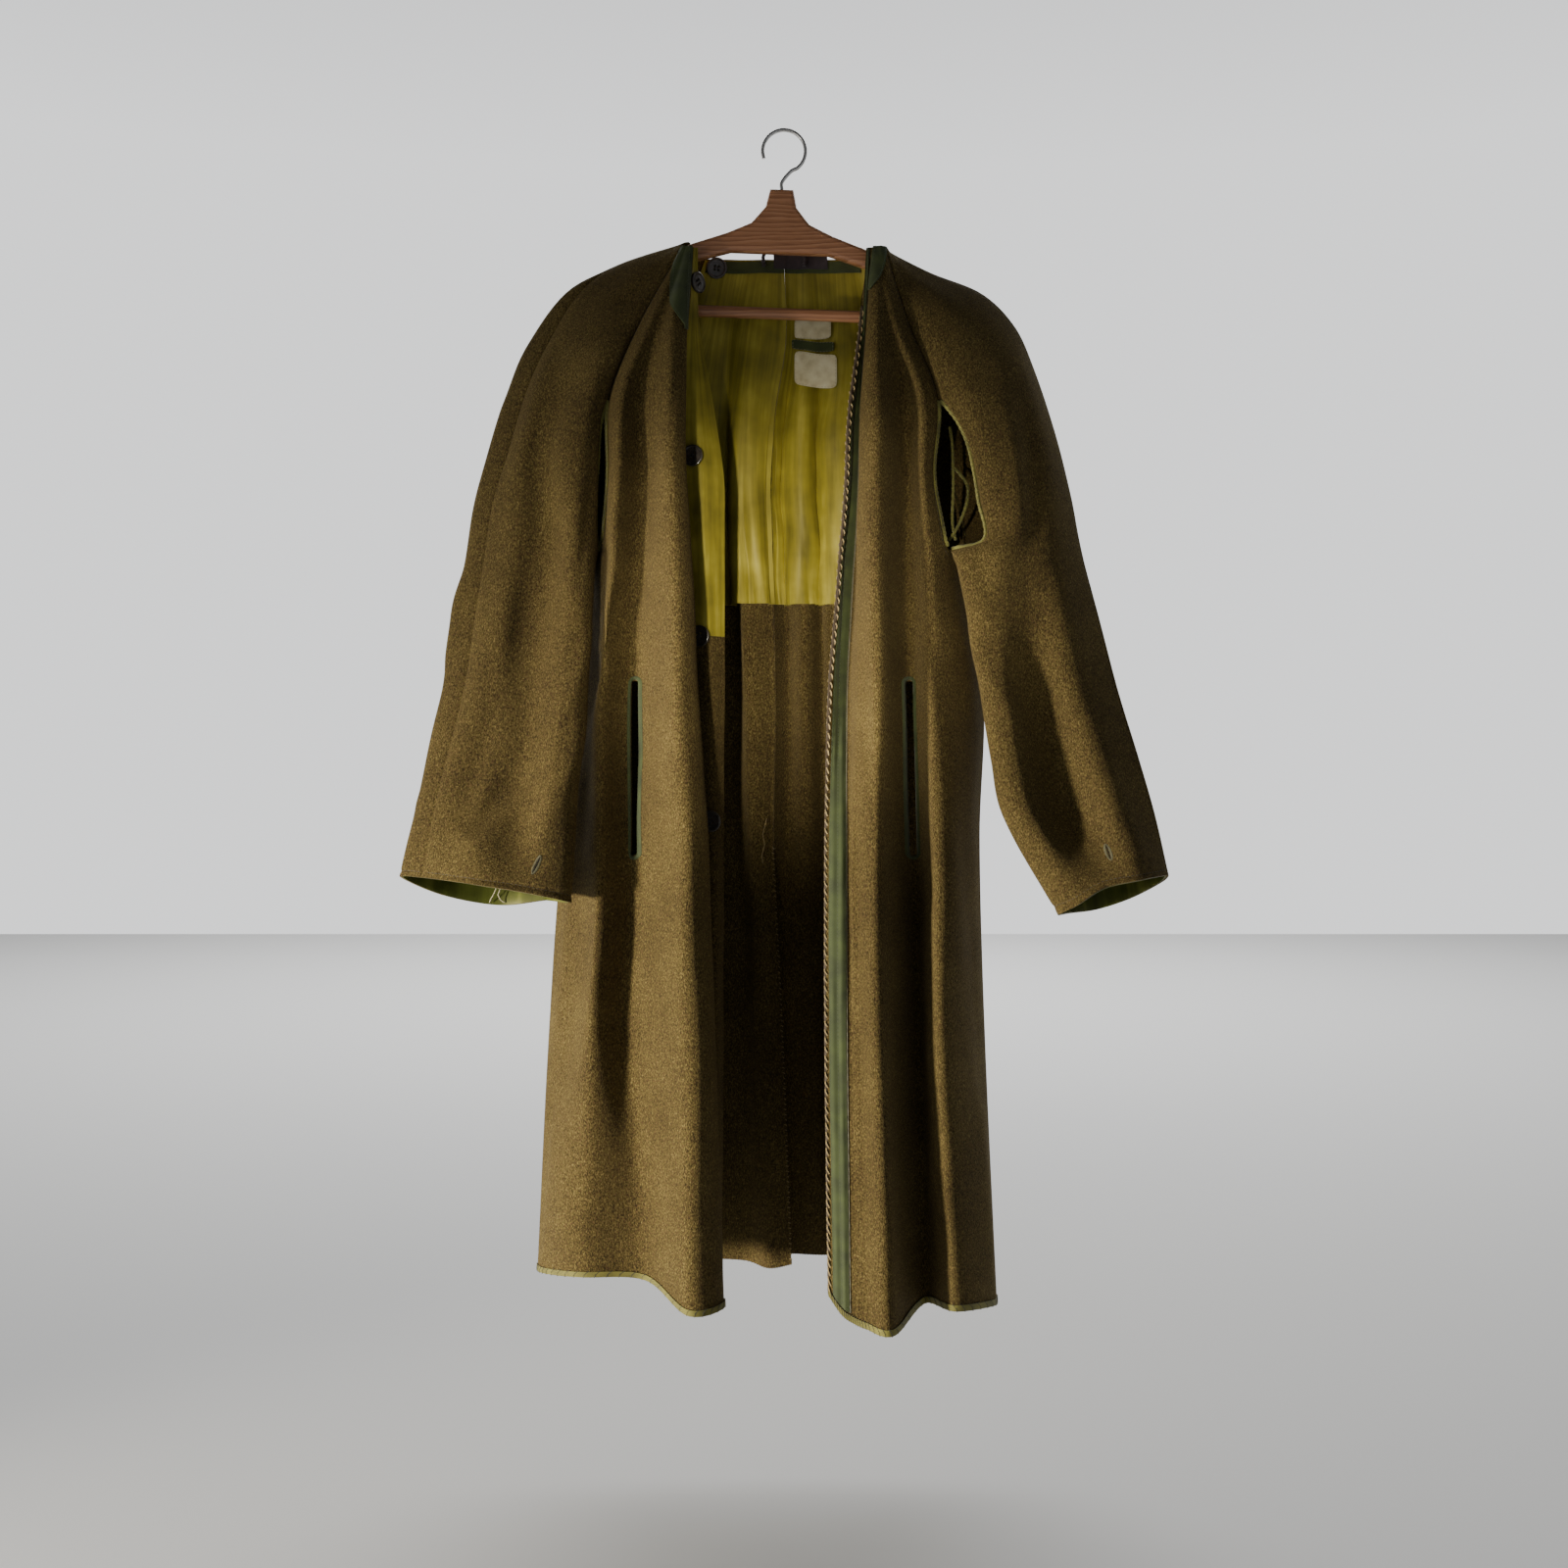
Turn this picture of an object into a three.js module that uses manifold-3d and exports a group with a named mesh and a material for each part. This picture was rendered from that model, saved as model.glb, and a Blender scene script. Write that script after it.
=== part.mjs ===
// A wool liner for a military overcoat, collarless, hung open on a plain wooden hanger.
// Millimetres, +Z up, X across the coat as it is seen from the front, +Y towards its back.
// The origin is the inside of the hook's bend, where a rail carries it. Right and left are the wearer's.
import * as THREE from "three";
import Module from "manifold-3d";

const wasm = await Module();
wasm.setup();

// Driving sizes
const WOOL = 2.6; // thickness of the wool frieze
const SATIN = 1; // thickness of the satin lining and facings
const TAPE = 1; // thickness of the cotton tapes and bindings
const SEAM_GAP = 0.3; // space between two pieces that are sewn together
const LIFT = 0.35; // space between a panel and a piece that lies on it
const BUTTON = { radius: 10.8, thick: 2.6, hole: 1.1, holeAt: 1.9 };
const SLIT = { top: 566, bottom: 742, width: 7, binding: 5 }; // pocket slit
const BINDING_WIDTH = 6;

// Rows of the cloth are named by their depth under the hook, measured on the front raglan and side seam.
const NECK = 124;
const SLOT_TOP = 284; // the underarm slot is left open between these two
const SLOT_BOTTOM = 436;
const ARMPIT = 450;
const LINING_HEM = 482;
const STRIP_SEAM = 521; // where the satin of the button strip gives way to wool
const VENT_TOP = 726;
const HEM = 1180;
const CUFF = 790;
const YOKE_ROWS = [NECK, 165, 205, 246, SLOT_TOP, 309, 345, 386, 415, SLOT_BOTTOM, ARMPIT];
const SKIRT_ROWS = [LINING_HEM, STRIP_SEAM, 575, 650, VENT_TOP, 745, 790, 885, 985, 1085, HEM];
const SLEEVE_ROWS = [475, 510, 575, 645, 700, 745, CUFF];

// Colours seen in the photograph
const finish = (color, roughness, metalness = 0) =>
  new THREE.MeshStandardMaterial({ color, roughness, metalness });
const wool = finish(0x5f4a2a, 0.95);
const satin = finish(0x8f8430, 0.45);
const tape = finish(0x4d5f35, 0.8);
const binding = finish(0x8d8a38, 0.75);
const label = finish(0xcdbf94, 0.7);
const darkTape = finish(0x2b2426, 0.8);
const buttonPlastic = finish(0x2a2622, 0.3);
const beech = finish(0xb8805c, 0.5);
const steel = finish(0xa8a8a6, 0.3, 1);

const coat = new THREE.Group();
function add(name, geometry, material) {
  const mesh = new THREE.Mesh(geometry, material);
  mesh.name = name;
  coat.add(mesh);
  return mesh;
}

const steps = (from, to, count) =>
  Array.from({ length: count + 1 }, (_, i) => from + ((to - from) * i) / count);

// A smooth line through values at rising knots, carried on straight past both ends.
function smooth(knots, values, at) {
  const last = knots.length - 1;
  const slope = (i) => {
    const before = Math.max(i - 1, 0);
    const after = Math.min(i + 1, last);
    return (values[after] - values[before]) / (knots[after] - knots[before]);
  };
  if (at <= knots[0]) return values[0] + slope(0) * (at - knots[0]);
  if (at >= knots[last]) return values[last] + slope(last) * (at - knots[last]);
  let i = 0;
  while (at > knots[i + 1]) i += 1;
  const span = knots[i + 1] - knots[i];
  const t = (at - knots[i]) / span;
  const [t2, t3] = [t * t, t * t * t];
  return (
    values[i] * (2 * t3 - 3 * t2 + 1) +
    slope(i) * span * (t3 - 2 * t2 + t) +
    values[i + 1] * (3 * t2 - 2 * t3) +
    slope(i + 1) * span * (t3 - t2)
  );
}

// The outer face of a panel. Each section has x and y for every named fold line, and h where its depth
// under the hook isn't the row's own. A seam line may turn sharply where a corner says so.
function cloth(columns, sections, corners = {}) {
  const places = columns.map((_, i) => i);
  const lines = columns.map((name, i) => {
    const corner = corners[name];
    const parts = [sections];
    if (corner) {
      parts[0] = sections.filter((row) => row.s <= corner);
      parts[1] = sections.filter((row) => row.s >= corner);
    }
    return (axis, s) => {
      const rows = corner && s > corner ? parts[1] : parts[0];
      const values = rows.map((row) => (axis === "h" ? (row.h ? row.h[i] : row.s) : row[axis][i]));
      return smooth(rows.map((row) => row.s), values, s);
    };
  });
  const surface = (c, s) => {
    const [x, y, h] = ["x", "y", "h"].map((axis) => smooth(places, lines.map((line) => line(axis, s)), c));
    return new THREE.Vector3(x, y, -h);
  };
  return Object.assign(surface, { columns, seam: columns.indexOf("seam") });
}

// A panel with one of its lines drawn to the neighbour that it is sewn to, where the neighbour gives a place.
function sewn(panel, name, neighbour) {
  const place = panel.columns.indexOf(name);
  const surface = (c, s) => {
    const p = panel(c, s);
    const reach = 1 - Math.abs(c - place);
    const target = reach > 0 ? neighbour(s) : undefined;
    return target ? p.addScaledVector(target.sub(panel(place, s)), reach) : p;
  };
  return Object.assign(surface, { columns: panel.columns, seam: panel.seam });
}

// The fronts, from the free edge over the folds to the raglan seam, underarm slot and side seam.
const FRONT = ["edge", "strip", "recess", "lip", "crest", "valley", "ridge", "flank", "seam"];
const [RECESS, LIP, VALLEY, SEAM] = ["recess", "lip", "valley", "seam"].map((name) => FRONT.indexOf(name));
const frontRight = cloth(FRONT, [
  { s: 124, x: [-88, -90, -92, -94, -96, -98, -100, -102, -104], y: [-4, -5, -6, -7, -7, -7, -7, -6, -4] },
  {
    s: 205, x: [-86, -90, -97, -97, -110, -122, -132, -139, -145],
    y: [-8, -14, -20, -38, -46, -38, -40, -35, -28],
  },
  {
    s: 284, x: [-72, -86, -106, -97, -112, -141, -158, -168, -175],
    y: [-12, -20, -22, -58, -74, -50, -62, -53, -40],
  },
  {
    s: 361, x: [-61, -82, -108, -96, -111, -140, -161, -171, -176],
    y: [-14, -24, -22, -66, -87, -50, -70, -60, -44],
  },
  {
    s: 415, x: [-60, -81, -107, -92, -109, -141, -166, -175, -182],
    y: [-14, -26, -22, -70, -91, -48, -68, -54, -26],
  },
  {
    s: 436, x: [-60, -80, -106, -91, -109, -141, -167, -177, -188],
    y: [-14, -26, -22, -72, -93, -47, -66, -46, -12],
  },
  {
    s: 450, x: [-60, -80, -106, -90, -109, -141, -168, -179, -195],
    y: [-14, -26, -22, -72, -93, -47, -66, -40, 3],
  },
  {
    s: 575, x: [-60, -77, -100, -84, -106, -149, -181, -190, -208],
    y: [-14, -28, -24, -76, -99, -40, -58, -20, 20],
  },
  {
    s: 725, x: [-61, -71, -90, -74, -101, -149, -184, -205, -228],
    y: [-12, -26, -26, -80, -105, -36, -60, -14, 16],
  },
  {
    s: 925, x: [-61, -68, -84, -67, -97, -152, -194, -226, -242],
    y: [-14, -30, -34, -84, -109, -40, -58, -20, 14],
  },
  {
    s: 1180, x: [-62, -67, -80, -59, -92, -136, -200, -243, -253], y: [-18, -36, -42, -88, -113, -50, -52, -16, 8],
    h: [1176, 1177, 1178, 1180, 1182, 1164, 1160, 1165, 1166],
  },
], { seam: ARMPIT });
const frontLeft = cloth(FRONT, [
  { s: 124, x: [84, 86, 88, 91, 94, 97, 99, 101, 103], y: [-4, -5, -6, -7, -7, -7, -7, -6, -4] },
  { s: 205, x: [79, 80, 84, 84, 93, 104, 112, 119, 126], y: [-8, -6, -8, -30, -40, -34, -36, -31, -24] },
  { s: 284, x: [68, 72, 80, 77, 94, 121, 136, 147, 154], y: [-10, 2, 0, -44, -64, -38, -52, -47, -40] },
  { s: 361, x: [64, 68, 78, 75, 93, 122, 136, 146, 150], y: [-10, 3, 2, -50, -73, -36, -56, -50, -42] },
  { s: 415, x: [60, 64, 76, 73, 93, 123, 139, 152, 159], y: [-11, 2, 2, -54, -78, -36, -58, -52, -43] },
  { s: 436, x: [58, 62, 75, 73, 93, 123, 141, 155, 165], y: [-12, 0, 0, -56, -80, -36, -58, -52, -42] },
  { s: 450, x: [57, 61, 74, 73, 93, 123, 142, 159, 182], y: [-13, -2, -2, -56, -81, -36, -58, -48, -12] },
  { s: 575, x: [47, 55, 67, 73, 94, 126, 146, 184, 205], y: [-26, -18, -20, -60, -86, -34, -66, -38, 10] },
  { s: 725, x: [41, 53, 64, 70, 93, 130, 150, 183, 201], y: [-66, -70, -71, -79, -97, -30, -78, -44, 8] },
  { s: 925, x: [41, 53, 65, 73, 96, 134, 153, 190, 206], y: [-72, -76, -78, -85, -103, -27, -84, -46, 6] },
  {
    s: 1180, x: [44, 57, 68, 81, 106, 141, 168, 207, 218], y: [-78, -84, -88, -95, -107, -30, -82, -40, 4],
    h: [1172, 1189, 1196, 1200, 1203, 1192, 1186, 1192, 1198],
  },
], { seam: ARMPIT });

// The back halves, from the raglan and side seam to the centre seam and the vent under it.
const BACK_RIGHT = ["seam", "outer", "middle", "recess", "crest", "centre"];
const backRight = sewn(cloth(BACK_RIGHT, [
  { s: 124, x: [-88, -76, -60, -42, -22, 0], y: [36, 40, 42, 43, 43, 43] },
  { s: 205, x: [-125, -102, -78, -56, -34, 1], y: [42, 50, 53, 55, 49, 51] },
  { s: 284, x: [-165, -130, -95, -60, -43, -12], y: [44, 56, 59, 63, 48, 54] },
  { s: 361, x: [-180, -142, -100, -59, -45, -17], y: [36, 56, 62, 70, 50, 56] },
  { s: 415, x: [-189, -156, -106, -57, -44, -15], y: [20, 48, 62, 73, 51, 57] },
  { s: 450, x: [-195, -166, -110, -56, -42, -14], y: [3, 42, 62, 74, 52, 58] },
  { s: 575, x: [-208, -176, -118, -54, -36, -11], y: [20, 50, 62, 74, 50, 58] },
  { s: 725, x: [-228, -190, -125, -51, -32, -13], y: [16, 50, 62, 72, 46, 52] },
  { s: 925, x: [-242, -202, -130, -46, -22, -2], y: [14, 48, 60, 66, 44, 45] },
  {
    s: 1180, x: [-253, -212, -135, -46, -15, 8], y: [8, 42, 56, 62, 43, 42],
    h: [1166, 1166, 1168, 1170, 1174, 1170],
  },
], { seam: ARMPIT, centre: VENT_TOP - 1 }), "seam", (s) => (s < ARMPIT ? undefined : frontRight(SEAM, s)));
const BACK_LEFT = ["centre", "tuck", "crest", "hollow", "swell", "outer", "seam"];
const backLeft = sewn(sewn(cloth(BACK_LEFT, [
  { s: 124, x: [0, 12, 25, 40, 58, 76, 88], y: [43, 43, 43, 43, 42, 40, 36] },
  { s: 205, x: [1, 13, 27, 43, 62, 94, 118], y: [51, 55, 50, 55, 50, 50, 42] },
  { s: 284, x: [-12, 3, 18, 35, 55, 108, 156], y: [54, 67, 48, 66, 49, 58, 44] },
  { s: 361, x: [-17, -2, 16, 35, 55, 115, 176], y: [56, 71, 48, 69, 50, 60, 34] },
  { s: 415, x: [-15, 2, 19, 38, 56, 121, 186], y: [57, 73, 49, 70, 51, 60, 14] },
  { s: 450, x: [-14, 4, 20, 39, 57, 125, 182], y: [58, 74, 50, 70, 52, 60, -12] },
  { s: 575, x: [-11, 6, 22, 41, 59, 130, 205], y: [58, 73, 52, 70, 54, 60, 10] },
  { s: 725, x: [-13, 4, 24, 44, 62, 130, 201], y: [52, 68, 56, 70, 56, 60, 8] },
  { s: 745, x: [-13, 2, 23, 44, 63, 130, 202], y: [58, 69, 58, 70, 57, 60, 7.8] },
  { s: 790, x: [-21, -2, 22, 44, 63, 131, 203], y: [63, 69, 60, 70, 58, 60, 7.4] },
  { s: 925, x: [-17, 0, 22, 46, 66, 134, 206], y: [58, 64, 60, 68, 58, 60, 6] },
  {
    s: 1180, x: [-8, 8, 28, 50, 72, 140, 218], y: [56, 60, 60, 66, 58, 58, 4],
    h: [1163, 1163, 1164, 1166, 1168, 1176, 1198],
  },
], { seam: ARMPIT, centre: VENT_TOP - 1 }), "seam", (s) => (s < ARMPIT ? undefined : frontLeft(SEAM, s))),
"centre", (s) => (s < VENT_TOP ? backRight(5, s) : undefined));

// The raglan sleeves, each a front and a back panel that meet along the top of the arm and under it.
// Their first or last line is the body's own seam down to the armpit, moved aside where the slot is open.
const SLEEVE_FRONT = ["seam", "fold", "ridge", "valley", "swell", "over"];
const SLEEVE_BACK = ["over", "turn", "rear", "hollow", "seam"];
const SLOTS = {
  rows: [SLOT_TOP, 309, 335, 361, 386, 415, SLOT_BOTTOM],
  rightFront: { x: [0, -6, -9, -11, -11, -8, 0], y: [0, 1, 2, 3, 3, 0, 0], h: [0, 0, 0, 0, 0, 0, 0] },
  leftFront: { x: [0, 19, 33, 40, 41, 40, 0], y: [0, -4, -5, -5, -5, -6, 0], h: [0, 0, 0, 0, 2, 12, 0] },
  rightBack: { x: [0, 0, -5, -8, -8, -5, 0], y: [0, 0, 0, 0, 0, 0, 0], h: [0, 0, 0, 0, 0, 0, 0] },
  leftBack: { x: [0, 0, 6, 10, 12, 8, 0], y: [0, 0, 0, 0, 0, 0, 0], h: [0, 0, 0, 0, 0, 0, 0] },
};
function sleeve(columns, sections, body, slot) {
  const aside = (s) => {
    const open = s > SLOT_TOP && s < SLOT_BOTTOM;
    const [x, y, h] = ["x", "y", "h"].map((axis) => (open ? smooth(SLOTS.rows, slot[axis], s) : 0));
    return new THREE.Vector3(x, y, -h);
  };
  const panel = cloth(columns, sections, { seam: ARMPIT });
  return sewn(panel, "seam", (s) => (s > ARMPIT ? undefined : body(body.seam, s).add(aside(s))));
}

const sleeveRightFront = sleeve(SLEEVE_FRONT, [
  {
    s: 124, x: [-104, -105.5, -106, -105, -102, -97],
    y: [-4, -1, 3, 8, 12, 16], h: [124, 121.5, 119, 116.5, 114, 112],
  },
  {
    s: 165, x: [-126, -131, -138, -147, -158, -170],
    y: [-15, -16, -14, -8, 2, 14], h: [165, 162, 156, 149, 141, 135],
  },
  {
    s: 205, x: [-145, -150, -161, -177, -195, -210],
    y: [-28, -30, -30, -24, -12, 0], h: [205, 203, 198, 189, 178, 168],
  },
  {
    s: 246, x: [-161, -166, -180, -202, -226, -243],
    y: [-36, -42, -46, -38, -26, -10], h: [246, 245, 242, 236, 230, 225],
  },
  {
    s: 284, x: [-175, -180, -192, -216, -243, -263],
    y: [-40, -48, -54, -42, -34, -15], h: [284, 283, 281, 277, 274, 272],
  },
  { s: 335, x: [-184, -186, -203, -232, -260, -281], y: [-42, -52, -60, -44, -40, -20] },
  { s: 386, x: [-189, -187, -204, -234, -265, -295], y: [-38, -50, -62, -46, -42, -25] },
  { s: 450, x: [-195, -188, -205, -238, -272, -304], y: [3, -49, -64, -50, -47, -30] },
  { s: 500, x: [-213, -190, -209, -242, -278, -311], y: [4, -53, -68, -54, -54, -36] },
  { s: 575, x: [-224, -194, -216, -250, -285, -321], y: [2, -58, -74, -58, -64, -45] },
  { s: 682, x: [-232, -203, -228, -262, -300, -345], y: [-12, -66, -84, -66, -74, -60] },
  {
    s: 790, x: [-238, -209, -231, -264, -302, -357], y: [-32, -72, -92, -97, -99, -76],
    h: [787, 787, 780, 773, 767, 761],
  },
], frontRight, SLOTS.rightFront);
const sleeveRightBack = sleeve(SLEEVE_BACK, [
  { s: 124, x: [-97, -99, -99, -96, -88], y: [16, 21, 26, 32, 36], h: [112, 114, 117, 121, 124] },
  { s: 165, x: [-170, -168, -155, -130, -106], y: [14, 22, 32, 38, 40], h: [135, 137, 144, 154, 165] },
  { s: 205, x: [-210, -222, -205, -165, -125], y: [0, 10, 30, 40, 42], h: [168, 165, 175, 190, 205] },
  { s: 246, x: [-243, -263, -247, -200, -145], y: [-10, 5, 30, 44, 43], h: [225, 222, 228, 238, 246] },
  { s: 284, x: [-263, -283, -265, -220, -165], y: [-15, 3, 32, 46, 44], h: [272, 272, 275, 280, 284] },
  { s: 335, x: [-281, -302, -280, -232, -176], y: [-20, -3, 30, 44, 38] },
  { s: 386, x: [-295, -315, -290, -240, -184], y: [-25, -7, 28, 40, 28] },
  { s: 450, x: [-304, -325, -300, -248, -195], y: [-30, -12, 24, 34, 3] },
  { s: 500, x: [-311, -336, -308, -254, -213], y: [-36, -18, 18, 30, 4] },
  { s: 575, x: [-321, -347, -320, -264, -224], y: [-45, -27, 8, 22, 2] },
  { s: 682, x: [-345, -365, -338, -280, -232], y: [-60, -43, -4, 8, -12] },
  { s: 790, x: [-357, -381, -345, -290, -238], y: [-76, -56, -24, -10, -32], h: [761, 762, 782, 793, 787] },
], backRight, SLOTS.rightBack);
const sleeveLeftFront = sleeve(SLEEVE_FRONT, [
  {
    s: 124, x: [103, 104.5, 105, 104, 102, 98],
    y: [-4, -1, 3, 8, 13, 17], h: [124, 122.5, 121, 120, 119, 118],
  },
  {
    s: 165, x: [113, 117, 124, 133, 143, 152],
    y: [-12, -13, -10, -3, 8, 17], h: [165, 162, 158, 153, 147, 143],
  },
  {
    s: 205, x: [126, 134, 148, 168, 188, 204],
    y: [-24, -27, -30, -24, -8, 14], h: [205, 203, 199, 190, 178, 165],
  },
  {
    s: 246, x: [143, 149, 165, 190, 216, 238],
    y: [-34, -40, -45, -40, -24, 10], h: [246, 245, 242, 233, 218, 200],
  },
  {
    s: 284, x: [154, 162, 180, 208, 236, 257],
    y: [-40, -47, -54, -48, -34, 6], h: [284, 283, 279, 270, 258, 243],
  },
  {
    s: 335, x: [181, 187, 203, 230, 256, 279],
    y: [-47, -53, -58, -50, -36, 2], h: [335, 335, 334, 330, 322, 312],
  },
  {
    s: 386, x: [194, 199, 214, 240, 266, 294],
    y: [-48, -54, -60, -54, -42, -6], h: [388, 387, 386, 385, 383, 378],
  },
  {
    s: 415, x: [199, 203, 216, 243, 270, 300],
    y: [-49, -56, -61, -56, -45, -11], h: [427, 426, 422, 418, 416, 414],
  },
  {
    s: 436, x: [165, 171, 200, 240, 272, 304],
    y: [-42, -53, -64, -58, -46, -13], h: [436, 440, 438, 436, 436, 436],
  },
  {
    s: 450, x: [182, 172, 200, 240, 273, 307],
    y: [-12, -55, -65, -59, -48, -15], h: [450, 453, 452, 450, 450, 450],
  },
  { s: 500, x: [205, 181, 206, 244, 280, 319], y: [-8, -54, -66, -58, -52, -22] },
  { s: 575, x: [222, 194, 216, 254, 292, 337], y: [-4, -54, -68, -50, -58, -30] },
  { s: 645, x: [234, 205, 229, 269, 309, 356], y: [-12, -56, -72, -50, -66, -43] },
  { s: 700, x: [246, 216, 242, 284, 324, 370], y: [-20, -58, -76, -58, -78, -52] },
  {
    s: 790, x: [285, 270, 285, 313, 347, 381],
    y: [-35, -70, -95, -100, -100, -68], h: [800, 799, 788, 768, 762, 759],
  },
], frontLeft, SLOTS.leftFront);
const sleeveLeftBack = sleeve(SLEEVE_BACK, [
  { s: 124, x: [98, 100, 100, 97, 88], y: [17, 22, 27, 32, 36], h: [118, 119, 120, 122, 124] },
  { s: 165, x: [152, 148, 137, 122, 103], y: [17, 25, 32, 37, 40], h: [143, 145, 150, 157, 165] },
  { s: 205, x: [204, 200, 182, 152, 118], y: [14, 25, 34, 40, 42], h: [165, 167, 176, 190, 205] },
  { s: 246, x: [238, 233, 214, 178, 137], y: [10, 24, 36, 43, 43], h: [200, 203, 214, 228, 246] },
  { s: 284, x: [257, 252, 232, 198, 156], y: [6, 24, 38, 46, 44], h: [243, 246, 255, 268, 284] },
  { s: 335, x: [279, 274, 252, 215, 170], y: [2, 20, 38, 46, 40], h: [312, 314, 320, 328, 335] },
  { s: 386, x: [294, 289, 266, 228, 181], y: [-6, 14, 34, 42, 26], h: [378, 379, 382, 385, 386] },
  { s: 415, x: [300, 295, 272, 232, 186], y: [-11, 10, 31, 38, 14] },
  { s: 436, x: [304, 299, 276, 235, 186], y: [-13, 8, 29, 35, 0] },
  { s: 450, x: [307, 302, 279, 237, 182], y: [-15, 6, 27, 33, -12] },
  { s: 500, x: [319, 315, 290, 248, 205], y: [-22, 0, 22, 28, -8] },
  { s: 575, x: [337, 334, 308, 264, 222], y: [-30, -8, 14, 20, -4] },
  { s: 645, x: [356, 353, 327, 283, 234], y: [-43, -19, 4, 10, -12] },
  { s: 700, x: [370, 368, 342, 298, 246], y: [-52, -28, -6, -2, -20] },
  { s: 790, x: [381, 378, 352, 318, 285], y: [-68, -42, -20, -14, -35], h: [759, 768, 785, 797, 800] },
], backLeft, SLOTS.leftBack);

// The unit vector straight into the cloth. A turned panel's lines run the other way round the body.
const TINY = 1e-3;
function inwards(surface, c, s) {
  if (surface.inward) return surface.inward(c, s);
  const across = surface(c + TINY, s).sub(surface(c - TINY, s));
  const down = surface(c, s + 1).sub(surface(c, s - 1));
  return across.cross(down).normalize().multiplyScalar(surface.turned ? 1 : -1);
}
for (const surface of [frontLeft, sleeveLeftFront, sleeveLeftBack]) surface.turned = true;

// A surface as its panel is really built, flat between its columns and rows, for what lies close on it.
function faceted(surface, columns, rows) {
  const cell = (knots, at) => {
    const i = Math.min(Math.max(knots.findIndex((knot) => knot > at + TINY) - 1, 0), knots.length - 2);
    const from = at > knots.at(-1) - TINY ? knots.length - 2 : i;
    return [knots[from], knots[from + 1], (at - knots[from]) / (knots[from + 1] - knots[from])];
  };
  const blend = (c, s, value) => {
    const [left, right, across] = cell(columns, c);
    const [top, bottom, down] = cell(rows, s);
    const row = (at) => value(left, at).lerp(value(right, at), across);
    return row(top).lerp(row(bottom), down);
  };
  return Object.assign((c, s) => blend(c, s, surface), {
    inward: (c, s) => blend(c, s, (column, row) => inwards(surface, column, row)),
    turned: surface.turned,
    round: surface,
  });
}

// A closed wall between two grids of points, the outer one and the inner one.
function wall(outer, inner, turned) {
  const [rows, cols] = [outer.length, outer[0].length];
  const points = [...outer.flat(), ...inner.flat()];
  const index = (r, c, side) => side * rows * cols + r * cols + c;
  const faces = [];
  const quad = (a, b, c, d) => faces.push(...(turned ? [a, c, b, a, d, c] : [a, b, c, a, c, d]));
  for (let r = 0; r + 1 < rows; r += 1)
    for (let c = 0; c + 1 < cols; c += 1) {
      quad(index(r, c, 0), index(r, c + 1, 0), index(r + 1, c + 1, 0), index(r + 1, c, 0));
      quad(index(r, c, 1), index(r + 1, c, 1), index(r + 1, c + 1, 1), index(r, c + 1, 1));
    }
  for (let c = 0; c + 1 < cols; c += 1) {
    quad(index(0, c + 1, 0), index(0, c, 0), index(0, c, 1), index(0, c + 1, 1));
    quad(index(rows - 1, c, 0), index(rows - 1, c + 1, 0), index(rows - 1, c + 1, 1), index(rows - 1, c, 1));
  }
  for (let r = 0; r + 1 < rows; r += 1) {
    quad(index(r, 0, 0), index(r + 1, 0, 0), index(r + 1, 0, 1), index(r, 0, 1));
    quad(index(r + 1, cols - 1, 0), index(r, cols - 1, 0), index(r, cols - 1, 1), index(r + 1, cols - 1, 1));
  }
  return mesh(points, faces);
}
function mesh(points, faces) {
  const geometry = new THREE.BufferGeometry();
  geometry.setAttribute("position", new THREE.Float32BufferAttribute(points.flatMap((p) => p.toArray()), 3));
  geometry.setIndex(faces);
  return geometry;
}

// A wall over part of a surface. near and far are how deep its two sides lie under the surface, and
// less than nothing where the piece lies on top. first and last say how its side edges meet their neighbours:
// each edge draws back by half a seam's gap, and a mitre gives the direction that both panels share there.
function layer(surface, across, rows, { near, far, first, last }) {
  const depth = (value, c, s) => (typeof value === "function" ? value(c, s) : value);
  const grids = [near, far].map((value) =>
    rows.map((s) =>
      across.map((c, i) => {
        const end = i === 0 ? first : i === across.length - 1 ? last : undefined;
        const p = surface(c, s);
        const inward = end?.mitre?.(s) ?? inwards(surface, c, s);
        const shift = end?.shift?.(s);
        if (shift) p.add(shift);
        else if (end) p.add(surface(across[i === 0 ? 1 : i - 1], s).sub(p).setLength(SEAM_GAP / 2));
        return p.addScaledVector(inward, depth(value, c, s));
      }),
    ),
  );
  return wall(grids[0], grids[1], surface.turned);
}

// Two panels share a mitre at their seam. Where four meet under the arm, each keeps to its own quarter:
// side is -1 on the right and 1 on the left, and way is -1 for the panels in front and 1 for those behind.
const mitre = (a, ca, b, cb) => (s) => inwards(a, ca, s).add(inwards(b, cb, s)).normalize();
const half = SEAM_GAP / 2;
function underarm(panel, above, below, side, way) {
  const joinedAbove = mitre(panel, panel.seam, above, above.seam);
  const joinedBelow = mitre(panel, panel.seam, below, below.seam);
  const out = above.isSleeve ? -1 : 1;
  return {
    mitre: (s) => {
      if (s > SLOT_TOP && s < SLOT_BOTTOM) return undefined;
      if (s === ARMPIT) return new THREE.Vector3(out * side, 0, 0);
      return s < ARMPIT ? joinedAbove(s) : joinedBelow(s);
    },
    shift: (s) => (s === ARMPIT ? new THREE.Vector3(out * side * half, way * half, 0) : undefined),
  };
}
for (const arm of [sleeveRightFront, sleeveRightBack, sleeveLeftFront, sleeveLeftBack]) arm.isSleeve = true;
const centreMitre = mitre(backRight, 5, backLeft, 0);
const centreSeam = { mitre: (s) => (s < VENT_TOP ? centreMitre(s) : undefined) };
const overSeam = (front, back) => ({ mitre: mitre(front, 5, back, 0) });
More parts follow.
